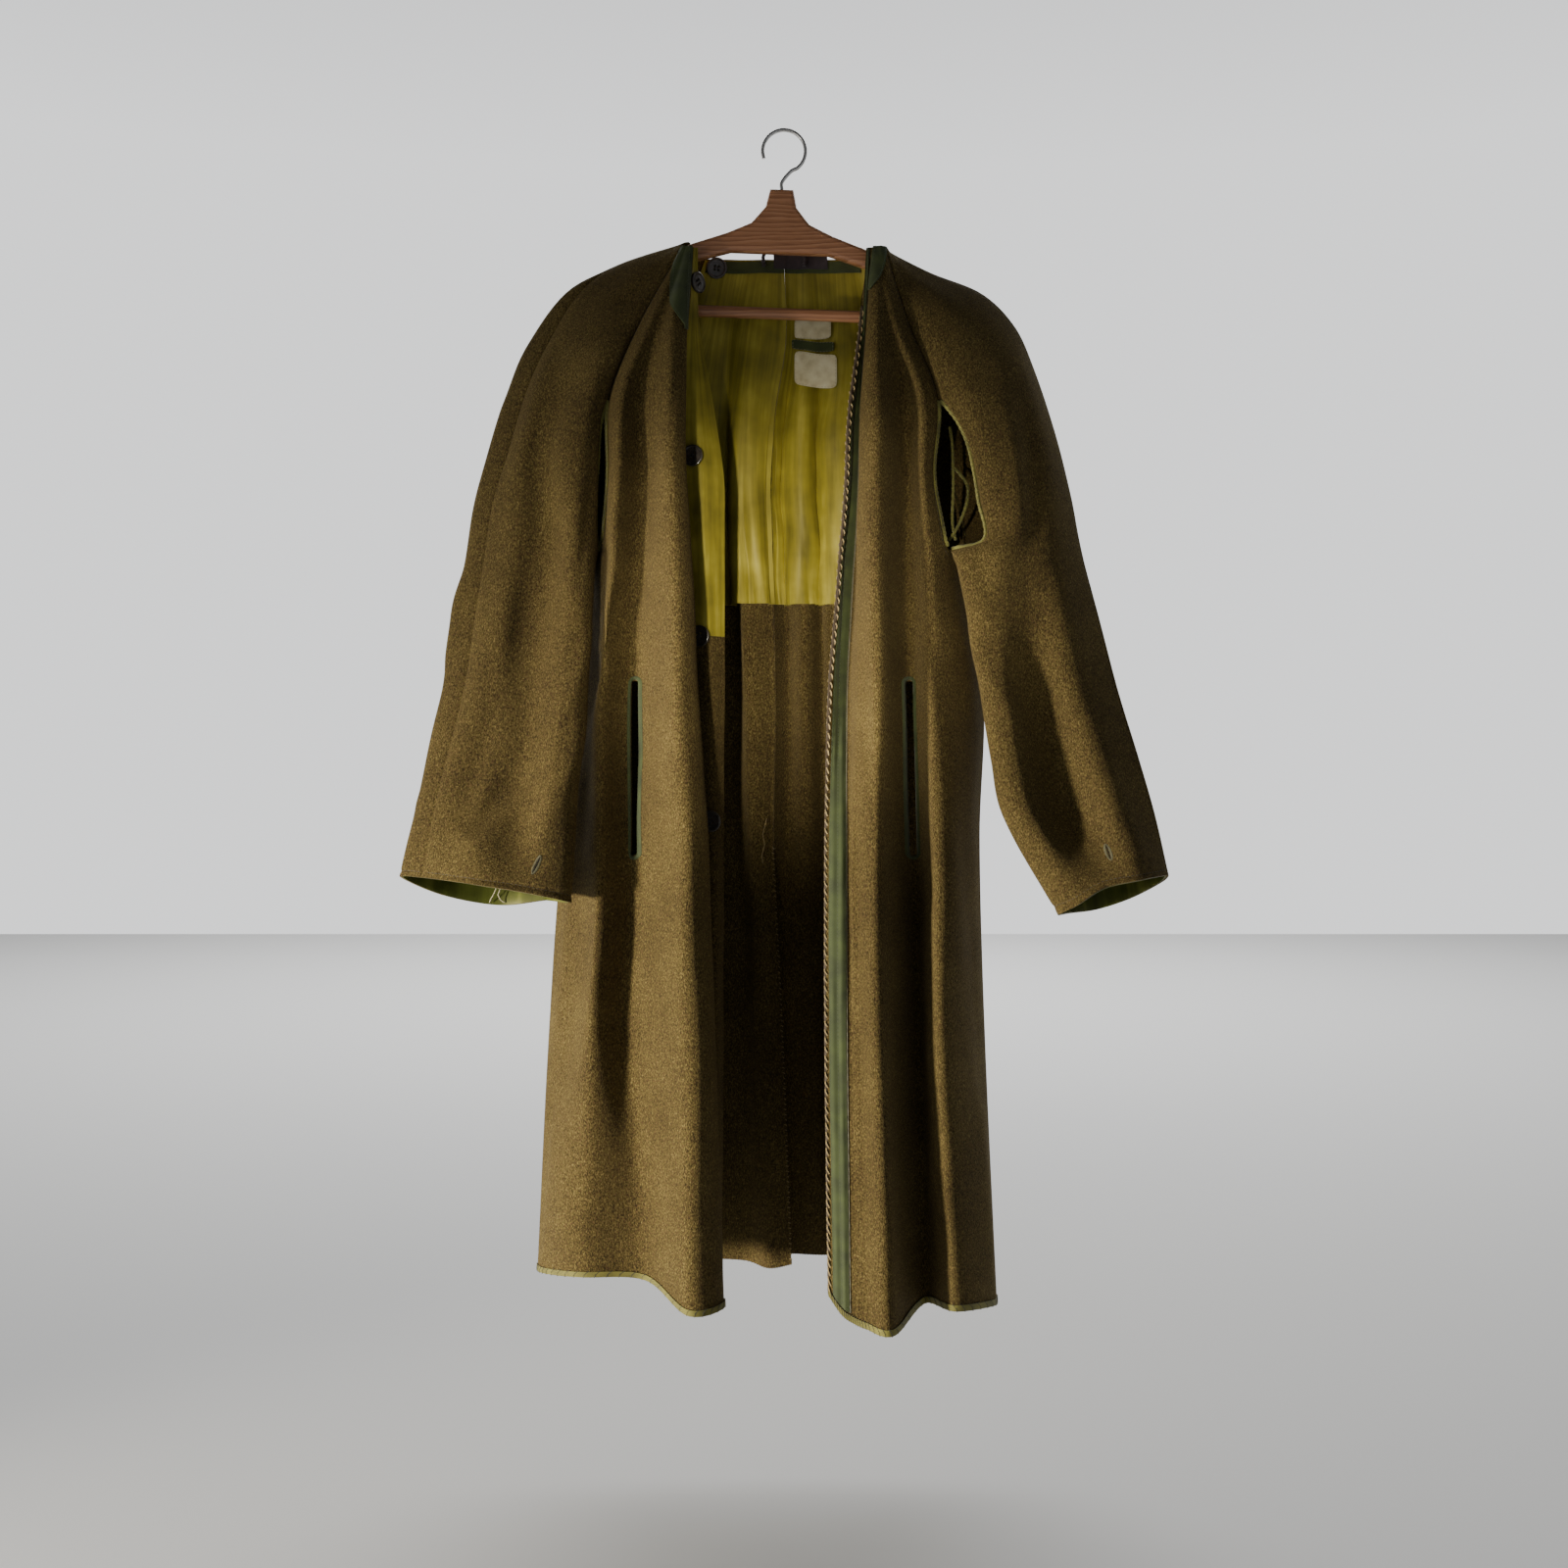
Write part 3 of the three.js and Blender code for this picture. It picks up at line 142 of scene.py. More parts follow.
class Panel:
    """The outer face of a panel, in millimetres. c is a place across its named lines and s a row."""

    def __init__(self, lines, sections, corners=(), turned=False, pitch=24, creases=(), seams=(0.6, 0.6)):
        self.lines = lines.split()
        self.rows = np.array([row[0] for row in sections], float)
        heights = [row[3] if len(row) > 3 else [row[0]] * len(self.lines) for row in sections]
        self.values = np.array([
            [[x, y, -h] for x, y, h in zip(row[1], row[2], high)] for row, high in zip(sections, heights)
        ], float)
        self.corners = dict(corners)
        self.turned, self.pitch, self.creases, self.seams = turned, pitch, creases, seams
        self.seam = self.lines.index("seam")
        self.sewn = []
        self.sleeve = False

    def base(self, c, s, paired=False):
        """Points at every c on every row, or at one c on each row where they are paired."""
        c, s = np.atleast_1d(np.asarray(c, float)), np.atleast_1d(np.asarray(s, float))
        lines = np.empty((len(s), len(self.lines), 3))
        for i, name in enumerate(self.lines):
            corner = self.corners.get(name, 1e6)
            for here, kept in ((s <= corner, self.rows <= corner), (s > corner, self.rows >= corner)):
                if here.any():
                    lines[here, i] = smooth(self.rows[kept], self.values[kept, i], s[here])
        row = np.arange(len(s))
        if not paired:
            c, row = c[None], row[:, None]
        order = np.arange(len(self.lines))
        before, after = np.maximum(order - 1, 0), np.minimum(order + 1, order[-1])
        slope = (lines[:, after] - lines[:, before]) / (after - before)[None, :, None]
        i = np.clip(np.floor(c).astype(int), 0, order[-1] - 1)
        t = np.clip(c - i, 0, 1)[..., None]
        past = (np.minimum(c, 0) + np.maximum(c - order[-1], 0))[..., None]
        points = (
            lines[row, i] * (2 * t**3 - 3 * t**2 + 1)
            + slope[row, i] * (t**3 - 2 * t**2 + t)
            + lines[row, i + 1] * (3 * t**2 - 2 * t**3)
            + slope[row, i + 1] * (t**3 - t**2)
            + past * slope[row, np.where(c < 0, 0, order[-1])]
        )
        for place, neighbour in self.sewn:
            reach = np.maximum(0, 1 - np.abs(c - place))[..., None]
            target, held = neighbour(s)
            move = (target - lines[:, place]) * held[:, None]
            points = points + (move if paired else move[:, None]) * reach
        return points

    def out(self, c, s, of=None, paired=False):
        of = of or self.base
        c, s = np.atleast_1d(np.asarray(c, float)), np.atleast_1d(np.asarray(s, float))
        across = of(c + 0.02, s, paired) - of(c - 0.02, s, paired)
        down = of(c, s + 1, paired) - of(c, s - 1, paired)
        return unit(np.cross(across, down)) * (-1 if self.turned else 1)

    def lift(self, c, s, paired=False):
        across, down = np.atleast_1d(c) * self.pitch, np.atleast_1d(s)
        if not paired:
            across, down = np.meshgrid(across, down)
        turn = len(self.lines) + self.pitch
        lift = 0.45 * np.sin(across / 11 + down / 31 + turn) * np.sin(down / 47 - across / 29)
        lift = lift + 0.35 * np.sin(across / 7 - down / 58 + 2 * turn) * np.sin(down / 83 + turn)
        lift = lift - (1.1 * np.exp(-(((down - CUFF + 7) / 2.2) ** 2)) if self.sleeve else 0)
        for c0, s0, c1, s1, up, wide in self.creases:
            along = np.array([(c1 - c0) * self.pitch, s1 - s0])
            x, y = across - c0 * self.pitch, down - s0
            t = np.clip((x * along[0] + y * along[1]) / (along @ along), 0, 1)
            away = (x - t * along[0]) ** 2 + (y - t * along[1]) ** 2
            lift = lift + up * (0.45 + 0.55 * np.sin(math.pi * t)) * np.exp(-away / wide**2)
        last = (len(self.lines) - 1) * self.pitch
        for groove, gap in zip(self.seams, (across, last - across)):
            if groove:
                near = np.clip(gap / (0.8 * self.pitch), 0, 1)
                lift = lift * near * near * (3 - 2 * near) - groove * np.exp(-np.abs(gap) / 3)
        return lift

    def points(self, c, s, paired=False):
        return self.base(c, s, paired) + self.out(c, s, None, paired) * self.lift(c, s, paired)[..., None]


def mesh_of(name, points, faces, material, places=None):
    """A piece from points in millimetres, with the places on its flat cut as its UV map."""
    made = bpy.data.meshes.new(name)
    faces = faces.tolist() if isinstance(faces, np.ndarray) else faces
    made.from_pydata(((np.asarray(points) - (0, HOOK_AHEAD, 0)) / 1000).tolist(), [], faces)
    if places is not None:
        corners = np.empty(len(made.loops), np.int32)
        made.loops.foreach_get("vertex_index", corners)
        made.uv_layers.new(name="cut").data.foreach_set("uv", (np.asarray(places) / 1000)[corners].ravel())
    made.materials.append(material)
    piece = bpy.data.objects.new(name, made)
    bpy.context.collection.objects.link(piece)
    for picked in bpy.context.selected_objects:
        picked.select_set(False)
    piece.select_set(True)
    bpy.context.view_layer.objects.active = piece
    bpy.ops.object.shade_smooth_by_angle(angle=math.radians(50))
    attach(piece, "root")
    return piece


def wall(name, outer, inner, turned, material, places, hole=None):
    """A closed wall between two grids of points, with a hole between the given rows and columns."""
    rows, cols = outer.shape[:2]
    near, far = np.arange(2 * rows * cols).reshape(2, rows, cols)
    kept = np.ones((rows - 1, cols - 1), bool)
    if hole:
        kept[hole[0]:hole[1], hole[2]:hole[3]] = False
    kept = kept.ravel()

    def quads(a, b, c, d):
        return np.stack([a.ravel(), b.ravel(), c.ravel(), d.ravel()], 1)

    faces = [
        quads(near[:-1, :-1], near[:-1, 1:], near[1:, 1:], near[1:, :-1])[kept],
        quads(far[:-1, :-1], far[1:, :-1], far[1:, 1:], far[:-1, 1:])[kept],
        quads(near[0, 1:], near[0, :-1], far[0, :-1], far[0, 1:]),
        quads(near[-1, :-1], near[-1, 1:], far[-1, 1:], far[-1, :-1]),
        quads(near[:-1, 0], near[1:, 0], far[1:, 0], far[:-1, 0]),
        quads(near[1:, -1], near[:-1, -1], far[:-1, -1], far[1:, -1]),
    ]
    if hole:
        top, bottom, left, right = hole
        across, down = slice(left, right + 1), slice(top, bottom + 1)
        faces += [
            quads(near[top, across][:-1], near[top, across][1:], far[top, across][1:], far[top, across][:-1]),
            quads(near[bottom, across][1:], near[bottom, across][:-1],
                  far[bottom, across][:-1], far[bottom, across][1:]),
            quads(near[down, left][1:], near[down, left][:-1], far[down, left][:-1], far[down, left][1:]),
            quads(near[down, right][:-1], near[down, right][1:], far[down, right][1:], far[down, right][:-1]),
        ]
    faces = np.concatenate(faces)
    if turned:
        faces = faces[:, ::-1]
    points = np.concatenate([outer.reshape(-1, 3), inner.reshape(-1, 3)])
    return mesh_of(name, points, faces, material, np.concatenate([places.reshape(-1, 2)] * 2))


def spread(start, end, every, *through):
    """Places from start to end about so far apart, with the given ones among them."""
    marks = sorted({start, end, *[m for m in through if start < m < end]})
    pieces = [np.linspace(a, b, max(1, round((b - a) / every)) + 1)[:-1] for a, b in zip(marks, marks[1:])]
    return np.concatenate([*pieces, [end]])


def layer(name, panel, c, s, near, far, material, first=None, last=None, slit=None):
    """A wall over part of a panel, its two faces so deep under it, or above it where less than nothing."""
    c, s = np.asarray(c, float), np.asarray(s, float)
    face, out = panel.points(c, s), panel.out(c, s, panel.points)
    for end, place, beside in ((first, 0, 1), (last, -1, -2)):
        if end is not None:
            back = unit(face[:, beside] - face[:, place]) * HALF_SEAM
            face[:, place] += back
            if callable(end):
                out[:, place] = end(s, out[:, place])
    depths = [value(c, s) if callable(value) else np.full((len(s), len(c)), float(value)) for value in (near, far)]
    outer, inner = (face - out * deep[..., None] for deep in depths)
    places = np.stack(np.meshgrid(c * panel.pitch, s), -1)
    hole = slit and [int(np.argmin(np.abs(marks - at))) for marks, at in zip((s, s, c, c), slit)]
    return wall(name, outer, inner, panel.turned, material, places, hole)


def seam_mitre(a, place_a, b, place_b):
    """The direction that two panels share at their seam."""
    return lambda s: unit(a.out(place_a, s)[:, 0] + b.out(place_b, s)[:, 0])


def underarm(panel, above, below, side):
    """The edge that meets one panel down to the armpit, with a slot left open, and another one below it."""
    joined_above = seam_mitre(panel, panel.seam, above, above.seam)
    joined_below = seam_mitre(panel, panel.seam, below, below.seam)
    sideways = np.array([side * (1 if above.sleeve else -1), 0, 0], float)

    def direction(s, own):
        slot = ((s > SLOT_TOP) & (s < SLOT_BOTTOM))[:, None]
        joined = np.where((s < ARMPIT)[:, None], joined_above(s), joined_below(s))
        corner = np.clip(1 - np.abs(s - ARMPIT) / 14, 0, 1)[:, None]
        return np.where(slot, own, unit(joined * (1 - corner) + sideways * corner))

    return direction


FRONT = "edge strip recess lip crest valley ridge flank seam"
RECESS, LIP, VALLEY, SIDE = 2, 3, 5, 8
front_right = Panel(FRONT, [
    (124, [-88, -90, -92, -94, -96, -98, -100, -102, -104], [-4, -5, -6, -7, -7, -7, -7, -6, -4]),
    (205, [-86, -90, -97, -97, -110, -122, -132, -139, -145], [-8, -14, -20, -38, -46, -38, -40, -35, -28]),
    (284, [-72, -86, -106, -97, -112, -141, -158, -168, -175], [-12, -20, -22, -58, -74, -50, -62, -53, -40]),
    (361, [-61, -82, -108, -96, -111, -140, -161, -171, -176], [-14, -24, -22, -66, -87, -50, -70, -60, -44]),
    (415, [-60, -81, -107, -92, -109, -141, -166, -175, -182], [-14, -26, -22, -70, -91, -48, -68, -54, -26]),
    (436, [-60, -80, -106, -91, -109, -141, -167, -177, -188], [-14, -26, -22, -72, -93, -47, -66, -46, -12]),
    (450, [-60, -80, -106, -90, -109, -141, -168, -179, -195], [-14, -26, -22, -72, -93, -47, -66, -40, 3]),
    (575, [-60, -77, -100, -84, -106, -149, -181, -190, -208], [-14, -28, -24, -76, -99, -40, -58, -20, 20]),
    (725, [-61, -71, -90, -74, -101, -149, -184, -205, -228], [-12, -26, -26, -80, -105, -36, -60, -14, 16]),
    (925, [-61, -68, -84, -67, -97, -152, -194, -226, -242], [-14, -30, -34, -84, -109, -40, -58, -20, 14]),
    (1180, [-62, -67, -80, -59, -92, -136, -200, -243, -253],
     [-18, -36, -42, -88, -113, -50, -52, -16, 8], [1176, 1177, 1178, 1180, 1182, 1164, 1160, 1165, 1166]),
], {"seam": ARMPIT}, pitch=26, seams=(0, 0.6), creases=[
    # c0, s0, c1, s1, up, wide
    (5.2, 470, 6.9, 590, -6, 14), (6.0, 520, 7.4, 700, 4, 14), (3.6, 560, 4.3, 800, -4, 10),
    (4.6, 660, 5.6, 840, 3.5, 10), (6.3, 760, 6.9, 1010, -7, 15), (3.5, 860, 3.8, 1090, 4, 9),
    (7.3, 640, 7.1, 900, 3, 11), (5.6, 930, 5.2, 1150, 5, 12), (4.2, 330, 4.7, 520, 3, 8),
    (3.4, 230, 4.0, 330, -2, 7), (6.7, 1040, 6.3, 1180, 3, 12), (7.5, 930, 7.6, 1150, -3, 12),
    (5.5, 560, 7.2, 520, 2.5, 9),
])
front_left = Panel(FRONT, [
    (124, [84, 86, 88, 91, 94, 97, 99, 101, 103], [-4, -5, -6, -7, -7, -7, -7, -6, -4]),
    (205, [79, 80, 84, 84, 93, 104, 112, 119, 126], [-8, -6, -8, -30, -40, -34, -36, -31, -24]),
    (284, [68, 72, 80, 77, 94, 121, 136, 147, 154], [-10, 2, 0, -44, -64, -38, -52, -47, -40]),
    (361, [64, 68, 78, 75, 93, 122, 136, 146, 150], [-10, 3, 2, -50, -73, -36, -56, -50, -42]),
    (415, [60, 64, 76, 73, 93, 123, 139, 152, 159], [-11, 2, 2, -54, -78, -36, -58, -52, -43]),
    (436, [58, 62, 75, 73, 93, 123, 141, 155, 165], [-12, 0, 0, -56, -80, -36, -58, -52, -42]),
    (450, [57, 61, 74, 73, 93, 123, 142, 159, 182], [-13, -2, -2, -56, -81, -36, -58, -48, -12]),
    (575, [47, 55, 67, 73, 94, 126, 146, 184, 205], [-26, -18, -20, -60, -86, -34, -66, -38, 10]),
    (725, [41, 53, 64, 70, 93, 130, 150, 183, 201], [-66, -70, -71, -79, -97, -30, -78, -44, 8]),
    (925, [41, 53, 65, 73, 96, 134, 153, 190, 206], [-72, -76, -78, -85, -103, -27, -84, -46, 6]),
    (1180, [44, 57, 68, 81, 106, 141, 168, 207, 218],
     [-78, -84, -88, -95, -107, -30, -82, -40, 4], [1172, 1189, 1196, 1200, 1203, 1192, 1186, 1192, 1198]),
], {"seam": ARMPIT}, turned=True, pitch=24, seams=(0, 0.6), creases=[
    (5.5, 480, 6.9, 620, -3.5, 11), (3.8, 430, 4.1, 640, 2.5, 8), (6.2, 640, 6.7, 860, 3.5, 11),
    (3.3, 560, 3.9, 760, -3, 8), (6.9, 720, 7.3, 980, -4, 12), (5.9, 800, 5.6, 1080, 3, 9),
    (3.7, 830, 3.9, 1120, 2.5, 8), (7.3, 1000, 7.0, 1180, 3, 12), (4.4, 930, 4.6, 1170, -3, 7),
    (1.4, 700, 1.7, 1000, 1.5, 9), (4.2, 240, 4.9, 330, -2.5, 8),
])
BACK_RIGHT = "seam outer middle recess crest centre"
back_right = Panel(BACK_RIGHT, [
    (124, [-88, -76, -60, -42, -22, 0], [36, 40, 42, 43, 43, 43]),
    (205, [-125, -102, -78, -56, -34, 1], [42, 50, 53, 55, 49, 51]),
    (284, [-165, -130, -95, -60, -43, -12], [44, 56, 59, 63, 48, 54]),
    (361, [-180, -142, -100, -59, -45, -17], [36, 56, 62, 70, 50, 56]),
    (415, [-189, -156, -106, -57, -44, -15], [20, 48, 62, 73, 51, 57]),
    (450, [-195, -166, -110, -56, -42, -14], [3, 42, 62, 74, 52, 58]),
    (575, [-208, -176, -118, -54, -36, -11], [20, 50, 62, 74, 50, 58]),
    (725, [-228, -190, -125, -51, -32, -13], [16, 50, 62, 72, 46, 52]),
    (925, [-242, -202, -130, -46, -22, -2], [14, 48, 60, 66, 44, 45]),
    (1180, [-253, -212, -135, -46, -15, 8], [8, 42, 56, 62, 43, 42], [1166, 1166, 1168, 1170, 1174, 1170]),
], {"seam": ARMPIT, "centre": VENT_TOP - 1}, pitch=44, seams=(0.6, 1.4), creases=[
    (0.7, 500, 1.5, 700, 4, 18), (2.2, 300, 1.3, 480, -4, 18), (1.9, 560, 2.3, 900, 4, 20),
    (0.9, 800, 1.2, 1150, -5, 22), (2.6, 900, 2.4, 1180, 4, 18), (3.4, 420, 3.2, 640, 3, 12),
    (1.2, 170, 2.4, 260, -2.5, 14), (1.6, 960, 1.8, 1170, 4, 16), (3.6, 880, 3.5, 1170, -3, 12),
])
BACK_LEFT = "centre tuck crest hollow swell outer seam"
back_left = Panel(BACK_LEFT, [
    (124, [0, 12, 25, 40, 58, 76, 88], [43, 43, 43, 43, 42, 40, 36]),
    (205, [1, 13, 27, 43, 62, 94, 118], [51, 55, 50, 55, 50, 50, 42]),
    (284, [-12, 3, 18, 35, 55, 108, 156], [54, 67, 48, 66, 49, 58, 44]),
    (361, [-17, -2, 16, 35, 55, 115, 176], [56, 71, 48, 69, 50, 60, 34]),
    (415, [-15, 2, 19, 38, 56, 121, 186], [57, 73, 49, 70, 51, 60, 14]),
    (450, [-14, 4, 20, 39, 57, 125, 182], [58, 74, 50, 70, 52, 60, -12]),
    (575, [-11, 6, 22, 41, 59, 130, 205], [58, 73, 52, 70, 54, 60, 10]),
    (725, [-13, 4, 24, 44, 62, 130, 201], [52, 68, 56, 70, 56, 60, 8]),
    (745, [-13, 2, 23, 44, 63, 130, 202], [58, 69, 58, 70, 57, 60, 7.8]),
    (790, [-21, -2, 22, 44, 63, 131, 203], [63, 69, 60, 70, 58, 60, 7.4]),
    (925, [-17, 0, 22, 46, 66, 134, 206], [58, 64, 60, 68, 58, 60, 6]),
    (1180, [-8, 8, 28, 50, 72, 140, 218], [56, 60, 60, 66, 58, 58, 4], [1163, 1163, 1164, 1166, 1168, 1176, 1198]),
], {"seam": ARMPIT, "centre": VENT_TOP - 1}, pitch=36, seams=(1.4, 0.6), creases=[
    (5.3, 500, 4.6, 700, 4, 18), (4.0, 300, 4.8, 480, -4, 18), (4.3, 560, 4.0, 900, 4, 20),
    (5.2, 800, 5.0, 1150, -5, 22), (3.5, 900, 3.7, 1180, 4, 16), (4.7, 170, 3.6, 260, -2.5, 14),
    (4.5, 960, 4.4, 1170, 4, 16), (2.4, 880, 2.5, 1170, -3, 11),
])


def follow(panel, held):
    """A neighbour's seam, held to where the given rows say."""
    return lambda s: (panel.base(panel.seam, s)[:, 0], held(s).astype(float))


back_right.sewn = [(0, follow(front_right, lambda s: s >= ARMPIT))]
back_left.sewn = [
    (6, follow(front_left, lambda s: s >= ARMPIT)),
    (0, lambda s: (back_right.base(5, s)[:, 0], (s < VENT_TOP).astype(float))),
]

# The underarm slots stand open between the body's seam and the sleeve's, moved aside by these amounts.
SLOTS = {
    "rows": [SLOT_TOP, 309, 335, 361, 386, 415, SLOT_BOTTOM],
    "right_front": {"x": [0, -6, -9, -11, -11, -8, 0], "y": [0, 1, 2, 3, 3, 0, 0], "h": [0, 0, 0, 0, 0, 0, 0]},
    "left_front": {"x": [0, 19, 33, 40, 41, 40, 0], "y": [0, -4, -5, -5, -5, -6, 0], "h": [0, 0, 0, 0, 2, 12, 0]},
    "right_back": {"x": [0, 1, 3, 4, 4, 3, 0], "y": [0, 3, 5, 6, 6, 5, 0], "h": [0, 0, 0, 0, 0, 0, 0]},
    "left_back": {"x": [0, -1, -3, -5, -5, -3, 0], "y": [0, 3, 5, 6, 6, 5, 0], "h": [0, 0, 0, 0, 0, 0, 0]},
}


def beside(body, slot):
    moves = np.array([SLOTS[slot]["x"], SLOTS[slot]["y"], [-h for h in SLOTS[slot]["h"]]], float).T

    def line(s):
        opened = ((s > SLOT_TOP) & (s < SLOT_BOTTOM))[:, None]
        aside = smooth(SLOTS["rows"], moves, np.clip(s, SLOT_TOP, SLOT_BOTTOM))
        return body.base(body.seam, s)[:, 0] + np.where(opened, aside, 0), (s <= ARMPIT).astype(float)

    return line


def arm(lines, sections, body, slot, turned, creases):
    seams = (0.6, 2.4) if lines.startswith("seam") else (2.4, 0.6)
    made = Panel(lines, sections, {"seam": ARMPIT}, turned=turned, pitch=26, creases=creases, seams=seams)
    made.sewn = [(made.seam, beside(body, slot))]
    made.sleeve = True
    return made


SLEEVE_FRONT = "seam fold ridge valley swell over"
SLEEVE_BACK = "over turn rear hollow seam"
sleeve_right_front = arm(SLEEVE_FRONT, [
    (124, [-104, -105.5, -106, -105, -102, -97], [-4, -1, 3, 8, 12, 16], [124, 121.5, 119, 116.5, 114, 112]),
    (165, [-126, -131, -138, -147, -158, -170], [-15, -16, -14, -8, 2, 14], [165, 162, 156, 149, 141, 135]),
    (205, [-145, -150, -161, -177, -195, -210], [-28, -30, -30, -24, -12, 0], [205, 203, 198, 189, 178, 168]),
    (246, [-161, -166, -180, -202, -226, -243], [-36, -42, -46, -38, -26, -10], [246, 245, 242, 236, 230, 225]),
    (284, [-175, -180, -192, -216, -243, -263], [-40, -48, -54, -42, -34, -15], [284, 283, 281, 277, 274, 272]),
    (335, [-184, -186, -203, -232, -260, -281], [-42, -52, -60, -44, -40, -20]),
    (386, [-189, -187, -204, -234, -265, -295], [-38, -50, -62, -46, -42, -25]),
    (450, [-195, -188, -205, -238, -272, -304], [3, -49, -64, -50, -47, -30]),
    (500, [-213, -190, -209, -242, -278, -311], [4, -53, -68, -54, -54, -36]),
    (575, [-224, -194, -216, -250, -285, -321], [2, -58, -74, -58, -64, -45]),
    (682, [-232, -203, -228, -262, -300, -345], [-12, -66, -84, -66, -74, -60]),
    (790, [-238, -209, -231, -264, -302, -357], [-32, -72, -92, -97, -99, -76], [787, 787, 780, 773, 767, 761]),
], front_right, "right_front", False, [
    (3.0, 410, 4.35, 700, -11, 18), (0.9, 600, 2.4, 735, 3, 10), (2.7, 300, 2.2, 470, 3.5, 11),
    (3.9, 250, 3.2, 420, -4, 12), (1.2, 520, 1.9, 600, 3, 8), (4.0, 480, 3.4, 640, 3, 11),
    (3.2, 665, 4.1, 724, -6, 9), (4.75, 722, 4.6, 760, -3.5, 9), (1.4, 380, 1.9, 470, -2.5, 8),
    (1.7, 180, 3.2, 205, -2, 10),
])
sleeve_right_back = arm(SLEEVE_BACK, [
    (124, [-97, -99, -99, -96, -88], [16, 21, 26, 32, 36], [112, 114, 117, 121, 124]),
    (165, [-170, -168, -155, -130, -106], [14, 22, 32, 38, 40], [135, 137, 144, 154, 165]),
    (205, [-210, -222, -205, -165, -125], [0, 10, 30, 40, 42], [168, 165, 175, 190, 205]),
    (246, [-243, -263, -247, -200, -145], [-10, 5, 30, 44, 43], [225, 222, 228, 238, 246]),
    (284, [-263, -283, -265, -220, -165], [-15, 3, 32, 46, 44], [272, 272, 275, 280, 284]),
    (335, [-281, -302, -280, -232, -176], [-20, -3, 30, 44, 38]),
    (386, [-295, -315, -290, -240, -184], [-25, -7, 28, 40, 28]),
    (450, [-304, -325, -300, -248, -195], [-30, -12, 24, 34, 3]),
    (500, [-311, -336, -308, -254, -213], [-36, -18, 18, 30, 4]),
    (575, [-321, -347, -320, -264, -224], [-45, -27, 8, 22, 2]),
    (682, [-345, -365, -338, -280, -232], [-60, -43, -4, 8, -12]),
    (790, [-357, -381, -345, -290, -238], [-76, -56, -24, -10, -32], [761, 762, 782, 793, 787]),
], back_right, "right_back", False, [
    (0.9, 560, 3.1, 700, -4.5, 13), (0.8, 470, 2.9, 560, 3.5, 12), (1.3, 300, 2.4, 450, 3, 12),
    (1.2, 690, 3.2, 760, 3, 10),
])
sleeve_left_front = arm(SLEEVE_FRONT, [
    (124, [103, 104.5, 105, 104, 102, 98], [-4, -1, 3, 8, 13, 17], [124, 122.5, 121, 120, 119, 118]),
    (165, [113, 117, 124, 133, 143, 152], [-12, -13, -10, -3, 8, 17], [165, 162, 158, 153, 147, 143]),
    (205, [126, 134, 148, 168, 188, 204], [-24, -27, -30, -24, -8, 14], [205, 203, 199, 190, 178, 165]),
    (246, [143, 149, 165, 190, 216, 238], [-34, -40, -45, -40, -24, 10], [246, 245, 242, 233, 218, 200]),
    (284, [154, 162, 180, 208, 236, 257], [-40, -47, -54, -48, -34, 6], [284, 283, 279, 270, 258, 243]),
    (335, [181, 187, 203, 230, 256, 279], [-47, -53, -58, -50, -36, 2], [335, 335, 334, 330, 322, 312]),
    (386, [194, 199, 214, 240, 266, 294], [-48, -54, -60, -54, -42, -6], [388, 387, 386, 385, 383, 378]),
    (415, [199, 203, 216, 243, 270, 300], [-49, -56, -61, -56, -45, -11], [427, 426, 422, 418, 416, 414]),
    (436, [165, 171, 200, 240, 272, 304], [-42, -53, -64, -58, -46, -13], [436, 440, 438, 436, 436, 436]),
    (450, [182, 172, 200, 240, 273, 307], [-12, -55, -65, -59, -48, -15], [450, 453, 452, 450, 450, 450]),
    (500, [205, 181, 206, 244, 280, 319], [-8, -54, -66, -58, -52, -22]),
    (575, [222, 194, 216, 254, 292, 337], [-4, -54, -68, -50, -58, -30]),
    (645, [234, 205, 229, 269, 309, 356], [-12, -56, -72, -50, -66, -43]),
    (700, [246, 216, 242, 284, 324, 370], [-20, -58, -76, -58, -78, -52]),
    (790, [285, 270, 285, 313, 347, 381], [-35, -70, -95, -100, -100, -68], [800, 799, 788, 768, 762, 759]),
], front_left, "left_front", True, [
    (3.0, 480, 3.25, 830, -6, 19), (0.9, 520, 2.3, 610, 3, 10), (3.1, 300, 2.3, 470, 4, 11),
    (4.0, 260, 3.2, 420, -3, 11), (3.9, 590, 4.2, 750, 4, 11), (1.5, 640, 2.1, 745, 2.5, 10),
    (3.9, 470, 3.5, 620, 3, 11), (1.5, 400, 2.2, 500, -2.5, 8),
])
